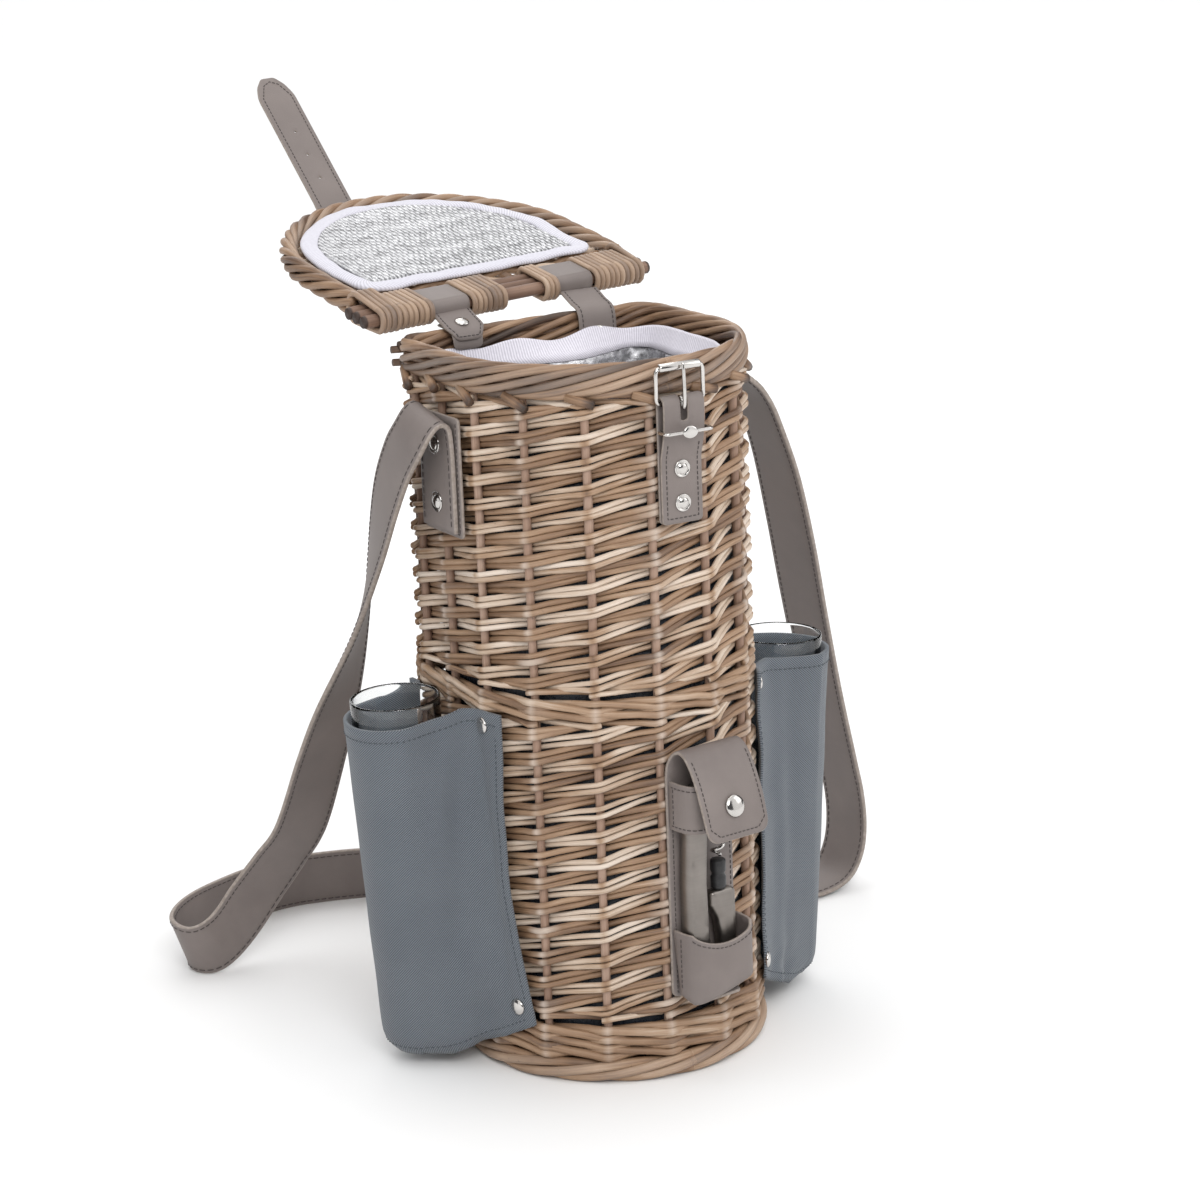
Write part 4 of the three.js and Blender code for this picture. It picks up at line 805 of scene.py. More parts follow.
def weave_rod(shell, index, reach, z, radius, tone, slope=0.0, highlight_and_bleach=1.0):
    """A rod past the stakes with the given numbers, at the given reach out from the wall's middle line.
    Where it bends over a stake its skin is lightened by bleach, a painted highlight with some wear, or
    darkened where bleach is below zero."""
    line, out = [], []
    laps, place = np.divmod(index, STAKES)
    runs = STAKE_RUNS[place] + laps * AROUND
    for i, run in enumerate(runs):
        post = place[i] in POSTS
        r = reach[i]
        if post:
            r = POST_OUTSIDE if r > 0 else POST_INSIDE
        r = r + rng.normal(0, 0.25)
        lift = z[i] + rng.normal(0, 0.28)
        wide = 4.4 if post else 2.7
        for step, share in ((-wide, 0.86), (0, 1.0), (wide, 0.86)):
            x, y = WALL_LINE.at(run + step, r * share)
            line.append((x, y, lift + slope * step))
            out.append(r * share)
        if i + 1 < len(runs):
            # rods run straight from stake to stake
            a = WALL_LINE.at(run, r)
            b = WALL_LINE.at(runs[i + 1], reach[i + 1])
            for t in BRIDGE:
                x, y = a * (1 - t) + b * t
                line.append((x, y, lift * (1 - t) + z[i + 1] * t + rng.normal(0, 0.12)))
                out.append(0)
    line = np.array(line)
    # Painted highlight with some wear at the outermost point of each bend; pale rods get a darker tone there
    # instead.
    bend = np.clip(np.array(out) / np.max(reach), 0, 1) ** 24
    fat = 1 + 0.09 * waves(line * (1, 1, 0), 160, int(rng.integers(1000)))
    tones = tone + 0.07 * waves(line, 90, int(rng.integers(1000))) + 0.3 * min(highlight_and_bleach, 0) * bend
    tube(shell, line, radius * fat, 8, False, tones, max(highlight_and_bleach, 0) * bend)


def randing(name, node, low, high):
    """A pair of rods starts behind each stake. Each pair climbs in front of one stake and behind the next,
    half a course each time, brown pairs in front of even stakes and pale ones in front of odd stakes."""
    shell = Shell()
    courses = round((high - low) / COURSE)
    pitch = (high - low) / courses
    step = np.arange(-2, 2 * courses + 1)
    side = np.where(step % 2 == 0, WEAVE_REACH, -WEAVE_REACH)
    slope = pitch / 2 / STAKE_SPACING
    for start in range(STAKES):
        pale = start % 2 == 1
        base, radius = (0.80, 1.52) if pale else (0.47, 1.7)
        for half in (-1, 1):
            z = low + (0.5 + step / 2 + half * 0.123) * pitch
            z = np.clip(z, low + radius, high - radius)
            tone = base + rng.normal(0, 0.05)
            weave_rod(shell, start + step, side, z, radius, tone, slope, -1.0 if pale else 1.0)
    shell.piece(name, "basket", "wicker", "pale_wicker", node)


def waling(name, node, low, high, rounds, radius, reach, tone):
    """Three rods that climb in turn: each passes in front of two stakes and behind one."""
    shell = Shell()
    climb = (high - low - 2 * radius) / rounds
    for k in range(3):
        index = np.arange(rounds * STAKES + 1)
        phase = (index - k) % 3
        side = np.where(phase < 2, reach, -reach).astype(float)
        slant = np.where(phase == 0, 0.42, np.where(phase == 1, -0.42, 0.0)) * climb
        z = np.clip(low + radius + index / STAKES * climb + slant, low + radius, high - radius)
        weave_rod(shell, index, side, z, radius, tone + rng.normal(0, 0.05), highlight_and_bleach=0.7)
    shell.piece(name, "basket", "wicker", "brown_wicker", node)


def wall_rope(shell, z, out, strands, radius, wide, tall, twists, tone):
    """Strands wound round the wall's line at a height, in an oval of the given half width and half height."""
    count = 150
    run = np.arange(count) / count * AROUND
    inner = WALL_LINE.at(run, out)
    path = np.column_stack([inner, np.full(count, float(z))])
    across = np.column_stack([unit(WALL_LINE.at(run, out + 1) - inner), np.zeros(count)])
    for k in range(strands):
        phase = k * 2 * math.pi / strands + rng.normal(0, 0.1)
        angle = phase + np.arange(count) / count * twists * 2 * math.pi
        wander = 0.3 * waves(path, 45, int(rng.integers(1000)))
        line = path + across * (wide * np.cos(angle) + wander)[:, None] + UP * (tall * np.sin(angle))[:, None]
        line[:, 2] = np.clip(line[:, 2], radius + 0.1, RIM + 0.6 - radius)
        fat = radius * (1 + 0.07 * waves(line, 110, k + 40))
        # Each strand is painted lighter on its side away from the wall: a painted highlight with some wear.
        outside = np.einsum("ij,ij->i", line - path, across) / wide
        tones = tone + rng.normal(0, 0.09) + 0.08 * waves(line, 70, k)
        tube(shell, line, fat, 10, True, tones, np.clip(outside, 0, 1) * 0.3)
    return path


def flat_weave(shell, radius, middle, end, z, sticks, rows, stick_r, rod_r, rise, tone, loose=None):
    """A level weave with a round front: rods over and under cross sticks, with each row's tone."""
    x0, y0 = middle
    for x in sticks:
        deep = math.sqrt(radius**2 - (x - x0) ** 2)
        tube(shell, [(x, y0 - deep, z), (x, 0, z), (x, end, z)], stick_r, 8, False, 0.4)
    for row, y in enumerate(rows):
        half = radius if y > y0 else math.sqrt(radius**2 - (y - y0) ** 2)
        line = [(x0 - half, y, z)]
        for k, x in enumerate(sticks):
            if abs(x - x0) < half - 4:
                aside = rng.normal(0, loose) if loose else 0
                line.append((x, y + aside, z + (rise if (k + row) % 2 else -rise)))
        line.append((x0 + half, y, z))
        tube(shell, smooth_line(line, 5 * len(line)), rod_r, 7, False, tone(row))


def rod_end(shell, start, end, radii, tones):
    """A short cut rod whose middle lies nearer its free end."""
    tube(shell, [start, start * 0.4 + end * 0.6, end], radii, 9, False, tones)


def make_basket():
    randing("woven_lower", "lower_weave", UPSETT_TOP + GAP, LOWER_TOP - GAP)
    randing("woven_upper", "upper_weave", MID_TOP + GAP, BORDER_LOW - GAP)
    waling("woven_upsett", "upsett_waling", FOOT_TOP, UPSETT_TOP, 3, 2.35, 4.05, 0.5)
    waling("woven_band", "mid_waling", LOWER_TOP, MID_TOP, 2, 2.1, 3.4, 0.55)

    shell = Shell()
    wall_rope(shell, z=6.8, out=1.8, strands=4, radius=2.6, wide=2.2, tall=3.9, twists=4, tone=0.46)
    shell.piece("rolled_foot", "basket", "wicker", "brown_wicker", "foot_border")

    # The rolled rim, with straight rods inside it
    shell = Shell()
    path = wall_rope(shell, z=392, out=0.6, strands=9, radius=2.1, wide=2.6, tall=7.6, twists=3, tone=0.40)
    for rise in (-4.4, 0, 4.4):
        tube(shell, path + UP * rise, 2.3, 8, True, 0.3)
    # Cut stake ends under the border
    between_posts = [(i, run) for i, run in enumerate(STAKE_RUNS) if i not in POSTS]
    for _, run in between_posts:
        start = np.append(WALL_LINE.at(run - 9, 2.6), 384.5)
        end = np.append(WALL_LINE.at(run + 5, 6.6), 379.0 + rng.normal(0, 1))
        rod_end(shell, start, end, [2.5, 2.6, 2.45], [0.45, 0.42, 0.1])
    # Rod ends that stick out at the back left corner
    for z, reach, lean in ((384.5, 9, 3), (388.5, 6, -2), (392.5, 10, 2), (397, 7, -1)):
        start = np.append(WALL_LINE.at(-POST_RUN - 20, 1.5), z)
        end = np.append(WALL_LINE.at(-POST_RUN - 4, 2) - (reach, -lean), z + lean * 0.6)
        rod_end(shell, start, end, [2.1, 2.2, 2.1], [0.42, 0.4, 0.15])
    shell.piece("rolled_rim", "basket", "wicker", "brown_wicker", "top_border")

    shell = Shell()
    for i, run in between_posts:
        z = np.linspace(6, 388, 24)
        line = np.column_stack([WALL_LINE.at(np.full(24, run), 0), z])
        line[:, 0] += 0.25 * waves(line, 40, i)
        tube(shell, line, STAKE_R * (1 + 0.05 * waves(line, 30, i)), 8, False, 0.62 + rng.normal(0, 0.07))
    shell.piece("stakes", "basket", "stake", "dark_wicker", "stake_frame")
    for side, x in (("left", -POST_X), ("right", POST_X)):
        shell = Shell()
        line = np.column_stack([np.full(30, x), np.full(30, POST_Y), np.linspace(13.5, 384, 30)])
        tube(shell, line, POST_R * (1 + 0.02 * waves(line, 25, 5)), 14, False, 0.22)
        shell.piece(f"post_{side}", "basket", "stake", "dark_wicker", f"corner_post_{side}")

    shell = Shell()
    flat_weave(
        shell, radius=74, middle=(0, FRONT_Y), end=70, z=FOOT_TOP / 2, sticks=np.linspace(-54, 54, 7),
        rows=np.arange(-64, 70, 6.6), stick_r=2.6, rod_r=2.6, rise=2.9,
        tone=lambda row: 0.5 + rng.normal(0, 0.06),
    )
    shell.piece("woven_base", "basket", "wicker", "brown_wicker", "base_mat")


make_basket()


# The liner: a padded foil bag with a cloth collar round its mouth
LINER_ROOM = 0.6
LINER = Plan(FRONT_R - WALL - LINER_ROOM, BACK_Y - WALL - LINER_ROOM, 23.4)


def make_liner():
    count = 260
    plan = LINER.ring(count)
    ahead = unit(np.roll(plan, -1, 0) - np.roll(plan, 1, 0))
    inward = np.stack([-ahead[:, 1], ahead[:, 0]], 1)
    run = np.arange(count) / count * LINER.around
    # the mouth sags inwards at the back and at the right side
    behind = np.exp(-(((plan[:, 0] - 14) / 34) ** 2)) * (plan[:, 1] > 30)
    beside = np.exp(-(((plan[:, 1] - 20) / 30) ** 2)) * (plan[:, 0] > 40) * 0.4
    sag = 21 * np.clip(behind + beside, 0, 1)
    sag = np.convolve(np.tile(sag, 3), np.ones(21) / 21, "same")[count : 2 * count]

    def wall(levels, pad, ripple):
        """Rings at heights, each moved inwards by its share of the pad, its crumples and the sag."""
        rows = []
        for z, share in levels:
            points = np.column_stack([plan, np.full(count, float(z))])
            crease = ripple * (0.5 + 0.5 * waves(points * (1, 1, 1.4), 11, 1, 14))
            droop = np.interp(z, [300, 345, 370, 379], [0, 0.4, 1, 1])
            fold = 1.6 * np.abs(waves(points * (1, 1, 2.2), 8, 51, 20)) * droop
            depth = share * (pad + np.clip(crease, 0, 2 * ripple) + sag * droop + fold)
            rows.append(np.column_stack([plan + inward * depth[:, None], points[:, 2]]))
        return rows

    shell = Shell()
    outer = [(z, 0) for z in (379, 200, 20, 14.5)]
    inner = [(z, 1) for z in (18.5, *np.arange(24, 336, 6.0), *np.arange(336, 378, 3.0), 379)]
    rings = np.array(wall(outer, 0, 0) + wall(inner, 2.0, 1.3))
    # The outer rings are marked as the bag's dark outside, partly painted shade for the gaps in the weave.
    marks = np.repeat(np.arange(len(rings)) < len(outer), count)
    weft = np.column_stack([np.tile(run, len(rings)), rings[..., 2].ravel(), np.zeros(len(marks))])
    cup(shell, rings, len(outer) - 1, edge=marks, weft=weft)
    bag = shell.piece("foil_bag", "basket", "foil", "foil_lining", "liner_bag")

    # The collar's rows: height or lift above its wavy top, depth, and its share of the sag
    shell = Shell()
    top = 389.5 + 2.2 * waves(np.column_stack([plan, np.zeros(count)]), 34, 21, 8)
    profile = [(379.4, 0.2, 1.0), (381, 0.2, 0.75), (383, 0.1, 0.45)]
    profile += [(top - 0.6, 0.0, 0.2), (top + 0.6, 0.7, 0.2), (top - 0.6, 1.6, 0.2)]
    profile += [(382.5, 2.4, 0.5), (379.5, 2.6, 1.0)]
    rows = []
    for height, depth, lean in profile:
        points = np.column_stack([plan, np.broadcast_to(height, (count,))])
        sway = 0.45 * waves(points * (1, 1, 0.4), 13, 31, 10)
        inwards = inward * (depth + LINER_ROOM + sway + sag * lean)[:, None]
        rows.append(np.column_stack([plan + inwards, points[:, 2]]))
    points = np.concatenate(rows)
    weft = np.column_stack([np.tile(run, len(rows)), points[:, 2], np.zeros(len(points))])
    shell.add(points, ring_faces(len(rows), count, closed=True), weft=weft)
    collar = shell.piece("cloth_collar", "basket", "lining", "white_lining", "liner_collar")


make_liner()


# Where the bars are wound, how far apart the turns lie, and past which places they take in the rim's ends
WINDINGS = ((-88.0, -56.2), (-27.8, -7.6), (21.6, 27.9), (56.2, 87.4))
WINDING_PITCH = 3.55
RIM_ENDS = (-75, 85)


def coil(shell, x, bound):
    """One turn round the three bars, or round the bars and the end of the rim where bound."""
    lean = rng.normal(0.5, 0.15)
    front, rise = (BARS_Y - 20, 8.6) if bound else (BARS_Y - 14.2, 5.6)
    back, bend = BARS_Y + 14.2, 5.4
    corners = [(back, -5.6), (back, 5.6), (front, rise), (front, -rise)]
    ring = rounded(turned(corners, 1), [bend, bend, rise * 0.85, rise * 0.85], 6)
    slide = lean * np.sin(np.arange(len(ring)) / len(ring) * 2 * math.pi)
    line = np.column_stack([x + slide, ring[:, 0], LID_Z + ring[:, 1]])
    apart = np.linalg.norm(np.roll(line, -1, 0) - line, axis=1) > 0.3
    line = smooth_line(line[apart], 34, True)
    tone = 0.44 + rng.normal(0, 0.07)
    tube(shell, line, 1.72 + rng.normal(0, 0.05), 8, True, tone, 0.25)


def make_lid():
    x0, y0 = LID_MIDDLE
    hoop = LID_R - 5.6
    back = 60
    angle = np.linspace(0, math.pi, 40)
    corners = [(x0 - hoop, back)]
    corners += [(x0 - hoop * math.cos(a), y0 - hoop * math.sin(a)) for a in angle]
    corners += [(x0 + hoop, back)]
    count = 150
    path = smooth_line([(x, y, LID_Z) for x, y in corners], count)
    side = unit(frames(path)[0] * (1, 1, 0))
    strands, twists = 6, 4.2
    shell = Shell()
    for k in range(strands):
        angle = k * 2 * math.pi / strands + 0.4 + np.linspace(0, 1, count) * 2 * math.pi * twists
        loose = 0.35 * waves(path, 30, 60 + k)
        line = path + side * (3.2 * np.cos(angle) + loose)[:, None] + UP * (5.4 * np.sin(angle))[:, None]
        fat = 2.25 * (1 + 0.07 * waves(line, 60, k + 70))
        tones = 0.42 + 0.08 * waves(line, 50, k + 80) + rng.normal(0, 0.06)
        # One side of each strand is painted lighter: a painted highlight with some wear.
        tube(shell, line, fat, 10, False, tones, np.clip(-np.cos(angle), 0, 1) * 0.5)
    shell.piece("lid_rope_rim", "lid", "wicker", "brown_wicker", "lid_hoop", change=open_lid)

    # Panel woven over sticks, and the weaver wound round the bars
    shell = Shell()
    inner = LID_R - 11.6
    flat_weave(
        shell, radius=inner, middle=LID_MIDDLE, end=63, z=LID_Z, sticks=np.linspace(-60, 60, 6) + x0,
        rows=np.arange(y0 - inner + 4, 61, 4.6), stick_r=2.5, rod_r=2.05, rise=2.2,
        tone=lambda row: (0.80 if row % 4 < 2 else 0.5) + rng.normal(0, 0.05), loose=0.2,
    )
    for start, end in WINDINGS:
        for x in np.linspace(start, end, max(2, round((end - start) / WINDING_PITCH) + 1)):
            coil(shell, x, not RIM_ENDS[0] <= x <= RIM_ENDS[1])
    shell.piece("lid_panel", "lid", "wicker", "pale_wicker", "lid_weave", change=open_lid)

    # Bars, with dark cut ends
    for name, step in (("inner", -1), ("middle", 0), ("outer", 1)):
        shell = Shell()
        x = np.array([-97.0, -96.4, *np.linspace(-95, 94, 30), 95.4, 96.0])
        line = np.column_stack([x, np.full(len(x), BARS_Y + step * BAR_PITCH), np.full(len(x), LID_Z)])
        line[:, 2] += 0.25 * waves(line, 40, step + 5)
        radius = BAR_R * np.where(np.abs(x) > 95.9, 0.9, 1.0)
        tone = np.where(np.abs(x) > 95, -0.3, 0.36) + 0.06 * waves(line, 25, step + 9)
        tube(shell, line, radius, 14, False, tone)
        shell.piece(f"lid_rod_{name}", "lid", "stake", "brown_wicker", f"lid_bar_{name}", change=open_lid)


make_lid()


# The quilted pad inside the lid and its binding
PAD_TOP = LID_Z - PANEL_HALF - GAP
PAD_LOW = PAD_TOP - 4
PAD_R = 79
PAD_BACK = 57
PAD_CORNER = 14
PAD_CENTRE = LID_MIDDLE[1]


def make_pad():
    around, sides = 200, 14
    plan = Plan(PAD_R - 5, PAD_BACK - 5, PAD_CORNER - 5, PAD_CENTRE)
    line = np.column_stack([plan.ring(around), np.full(around, PAD_LOW + 2.0)])
    line += np.column_stack([0.8 * waves(line, 26, 3), 0.8 * waves(line, 26, 4), 0.4 * waves(line, 18, 5)])
    angle = np.linspace(0, 2 * math.pi, sides, endpoint=False)
    section = np.column_stack([np.cos(angle), np.sin(angle)])
    section = np.sign(section) * np.abs(section) ** 0.7 * (5.2, 1.7)
    points = swept(line, unit(np.cross(tangents(line, True), UP)), UP, section)
    points = points + UP * (0.3 * waves(points, 6, 9))[..., None]
    weft = np.zeros((around, sides, 3))
    weft[..., 0] = (np.arange(around) / around * plan.around)[:, None] + section[None, :, 0] * 0.6
    shell = Shell()
    shell.add(points, ring_faces(around, sides, closed=True), weft=weft.reshape(-1, 3))
    binding = shell.piece("pad_binding", "lid", "binding", "white_lining", "lid_pad_binding", change=open_lid)

    quilt = Plan(PAD_R - 9.6, PAD_BACK - 9.6, PAD_CORNER - 9, PAD_CENTRE).ring(120)
    tilt = math.radians(28)

    def place(u, v, w):
        return np.stack([u, v, PAD_TOP - 1.9 - np.broadcast_to(w, np.shape(u))], -1)

    def puff(u, v):
        ridge = u * math.cos(tilt) + v * math.sin(tilt)
        flat = np.stack([u, v, 0 * u], -1)
        return 0.2 * np.sin(ridge * 1.9 + 0.8 * waves(flat, 9, 6)) + 0.35 * waves(flat, 24, 7)

    shell = Shell()
    plate(shell, place, quilt, 3.2, bevel=1.2, step=1.1, puff=puff)
    points = np.concatenate(shell.points)
    shell.marks = {"weft": [(0, points)], "edge": [(0, np.zeros(len(points)))]}
    pad = shell.piece("quilted_pad", "lid", "quilt", "foil_lining", "lid_pad", change=open_lid)


make_pad()


# Leather hinges: loops round the bars, tabs on the rim, studs
TAB_HALF = 12
HINGE_SLOPE = [(88.4, 410.4), (83, 407.8), (77, 405.0)]


def hinge_tab(shell, x, rows, count, taper, tip, round_by, seam):
    """A stitched tab along y and z rows, narrower at its free end."""
    tab = Ribbon(smooth_line([(x, y, z) for y, z in rows], count), -RIGHT)
    end = tab.length
    wide = end - taper
    outline = even_outline([(TAB_HALF, 0), (TAB_HALF, wide), (tip, end)], [1, *round_by])
    plate(shell, tab.place, outline, TAB_THICK, step=2.5)
    aside, near_tip, short = seam
    for face in (-TAB_THICK / 2, TAB_THICK / 2):
        row = mirrored([(aside, 1), (aside, wide), (near_tip, end - short)])
        stitches(shell, tab.place, row, face, 2.6)
    return tab


def bent_piece(shell, name, node):
    """Makes a leather piece on no body, its place moved into its points."""
    tab = shell.piece(name, None, "leather", "leather", node)
    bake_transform(tab)


def make_hinges():
    reach, rise, count = 12.6, 4.9, 70
    for side, x in (("left", -HINGE_X), ("right", HINGE_X)):
        low, high = BARS_Y - reach, BARS_Y + reach
        ring = rounded([(low, -rise), (high, -rise), (high, rise), (low, rise)], 4.6, 8)
        line = np.column_stack([np.full(len(ring), x), ring[:, 0], LID_Z + ring[:, 1]])
        line = smooth_line(line, count, True)
        section = edge_section(23.6, TAB_THICK)
        points = swept(line, RIGHT, unit(np.cross(tangents(line, True), RIGHT)), section)
        marks = np.tile(np.abs(section[:, 0]) > 11.5, count)
        shell = Shell()
        shell.add(points, ring_faces(count, len(section), closed=True), edge=marks, thread=0.0)
        shell.piece(f"hinge_band_{side}", "lid", "leather", "leather", f"hinge_loop_{side}", change=open_lid)

    # The left tab lies on the rim, with a second layer under its front end
    shell = Shell()
    rows = HINGE_SLOPE + [(71.5, 402.9), (66.8, 399.4), (65.2, 395.6)]
    tab = hinge_tab(shell, -HINGE_X, rows, 40, 8.6, 7.5, (3, 6), (10, 6.6, 2.2))
    rows = [(84, 402.4), (71.2, 401.0), (67.2, 397.6), (66.4, 390.5)]
    under = Ribbon(smooth_line([(-HINGE_X, y, z) for y, z in rows], 16), -RIGHT)
    plate(shell, under.place, even_outline([(10, 0), (9, under.length)], [1, 4]), 1.4)
    bent_piece(shell, "hinge_tab_left", "hinge_anchor_left")

    # The right tab bends down inside the rim
    shell = Shell()
    rows = HINGE_SLOPE + [(72, 403.4), (69.2, 400.6), (68.1, 396), (67.8, 390), (67.9, 380.5)]
    hinge_tab(shell, HINGE_X, rows, 44, 8, 7, (4, 5), (9.8, 6.2, 2.4))
    bent_piece(shell, "hinge_tab_right", "hinge_anchor_right")

    run = np.interp(-73.5, -tab.line[:, 1], tab.run)
    out = tab.place(0.0, run, 2.0) - tab.place(0.0, run, 1.0)
    stud("stud_left", "basket", "hinge_stud_left", tab.place(0.0, run, TAB_THICK / 2), out, 4.15, 1.1)
    stud("stud_right", "basket", "hinge_stud_right", (HINGE_X, 66.9, 389), (0, -1.0, 0), 4.15, 1.1)


make_hinges()


# The closing strap, drawn with the lid closed: riveted base, then the free strap bent forwards and down
def make_closing_strap():
    x, y, z = -4, -88.5, 421.0
    free = 114
    ahead, down = math.cos(math.radians(35)), math.sin(math.radians(35))
    line = [(x, y + s, z) for s in (21, 12, 4)]
    line += [(x, y - s * ahead, z - s * down) for s in (5, 14, 30, 50, 70, 90, free)]
    ribbon = Ribbon(smooth_line(line, 90), -RIGHT)
    end = ribbon.length
    start = end - free
    side = [(14.2, 1.5), (13.2, start + 6), (12.5, start + 18)]
    side += [(12.5, end - 15), (9.4, end - 6.5), (4.6, end - 0.6)]
    outline = even_outline(side, [3, 6, 12, 20, 12, 4])
    angle = np.linspace(0, 2 * math.pi, 12, endpoint=False)
    holes = [np.column_stack([0.8 * np.cos(angle), end - d + 0.8 * np.sin(angle)]) for d in (43, 61, 79)]
    shell = Shell()
    plate(shell, ribbon.place, outline, STRAP_THICK, holes, step=2.5)
    side = [(9.7, 4), (9.7, end - 16), (5, end - 6.4)]
    row = [(-u, v) for u, v in side] + [(0, end - 3.8)] + side[::-1]
    for face in (-STRAP_THICK / 2, STRAP_THICK / 2):
        stitches(shell, ribbon.place, row, face, 2.7)
    nodes = ("lid_strap_base", "lid_strap")
    strap = shell.piece("closing_strap_leather", None, "leather", "leather", *nodes, change=open_lid)
    held, led = open_lid([(x, y + 5, z), (x, y - 7 * ahead, z - 7 * down)]) * 0.001
    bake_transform(strap)
    for i, step in ((1, -7), (2, 7)):
        name, node = f"strap_base_rivet_{i}", f"lid_strap_rivet_{i}"
        stud(name, "lid", node, (x + step, -80, 422.2), UP, 4.5, 1.5, change=open_lid)


make_closing_strap()


# The buckle on the front: a folded tab, a wire frame with a roller and a prong, and a keeper
BAR = 379
PIVOT_Y = -84.7
ROLLER_Z = 398
BUCKLE_X = 14.4
KEEPER_X = 14.2
KEEPER_Z = 364.5


def ring_wire(shell, corners, radius, bend, sides):
    """A closed wire through corners that lie on one plane."""
    corners = np.asarray(corners, float)
    a, b = unit(corners[1] - corners[0]), unit(corners[-1] - corners[0])
    flat = np.stack([(corners - corners[0]) @ a, (corners - corners[0]) @ b], 1)
    ring = rounded(flat, bend, 6)
    line = corners[0] + ring[:, :1] * a + ring[:, 1:] * b
    tube(shell, densified(line, 4.0), radius, sides, True)


def make_buckle():
    back, front = -81.2, -83.8
    angle = np.linspace(0.4, math.pi, 9)
    line = [(0, back, z) for z in (314, 330, 345, 360, 372, BAR)]
    line += [(0, PIVOT_Y + 3.5 * math.cos(a), BAR + 3.5 * math.sin(a)) for a in angle]
    line += [(0, -88.1, 372), (0, -87.6, 364), (0, -85.8, 356), (0, -84.1, 350)]
    line += [(0, front, z) for z in (344, 330, 314)]
    ribbon = Ribbon(smooth_line(line, 140), RIGHT)
    end = ribbon.length
    top = ribbon.run[np.argmax(ribbon.line[:, 2])]
    slot = even_outline([(2.3, top - 12), (2.3, top + 15)], [2.2, 2.2])
    shell = Shell()
    plate(shell, ribbon.place, even_outline([(12.5, 0), (12.5, end)], [3, 3]), TAB_THICK, [slot], step=2.5)
    stitches(shell, ribbon.place, mirrored([(9.6, end - 44), (9.6, end - 3)]), -TAB_THICK / 2, 2.8)
    shell.piece("tab_leather", "basket", "leather", "leather", "buckle_tab")
    for name, z in (("lower", 325), ("upper", 343.5)):
        stud(f"tab_stud_{name}", "basket", f"tab_rivet_{name}", (0, -84.8, z), (0, -1.0, 0), 4.9, 1.5, True)

    shell = Shell()
    corners = [(x, PIVOT_Y, z) for x, z in (
        (-BUCKLE_X, BAR), (BUCKLE_X, BAR), (BUCKLE_X, ROLLER_Z), (-BUCKLE_X, ROLLER_Z),
    )]
    ring_wire(shell, corners, 1.15, 3.4, 12)
    shell.piece("buckle_wire", "buckle", "nickel", "nickel", "buckle_frame")

    shell = Shell()
    half = [(0, 12.5), (1.6, 12.5), (2.05, 12.3), (2.3, 11.7)]
    profile = [(r, -h) for r, h in half] + [(2.3, 0)] + half[::-1]
    lathe(shell, profile, (0, PIVOT_Y, ROLLER_Z), RIGHT, 28)
    shell.piece("roller_sleeve", "roller", "nickel", "nickel", "buckle_roller")

    # The prong's eye round the bar, then its arm up to the roller
    shell = Shell()
    angle = np.linspace(0.6, math.pi + 0.5, 9)
    line = [(0, PIVOT_Y + 2.6 * math.cos(a), BAR + 2.6 * math.sin(a)) for a in angle]
    arm = ((-88.3, 376.4), (-89.3, 379), (-89.5, 385), (-89.3, 392), (-89.1, 397), (-88.7, 400.6))
    line += [(0, y, z) for y, z in arm]
    share = np.linspace(0, 1, 50)
    radius = np.interp(share, [0, 0.6, 0.9, 0.98, 1], [1.0, 1.05, 0.95, 0.8, 0.4])
    tube(shell, smooth_line(line, 50), radius, 12)
    shell.piece("prong_wire", "prong", "nickel", "nickel", "buckle_prong")

    # The keeper, with a small oval plate on its front
    shell = Shell()
    corners = [(x, y, KEEPER_Z) for x, y in (
        (-KEEPER_X, PIVOT_Y), (-KEEPER_X, -93.4), (KEEPER_X, -93.4), (KEEPER_X, PIVOT_Y),
    )]
    ring_wire(shell, corners, 0.98, 2.4, 10)
    sides = 28
    angle = np.linspace(0, 2 * math.pi, sides, endpoint=False)
    oval = np.column_stack([4.6 * np.cos(angle), np.zeros(sides), 3.4 * np.sin(angle)])
    rows = [(0.85, -93.6), (0.97, -93.7), (1.0, -94.1), (0.97, -94.6), (0.85, -94.9), (0.5, -95.05)]
    points = [oval * share + (0, y, KEEPER_Z) for share, y in rows]
    shell.add(np.concatenate(points), ring_faces(len(rows), sides))
    shell.piece("keeper_loop", "keeper", "nickel", "nickel", "buckle_keeper")


make_buckle()


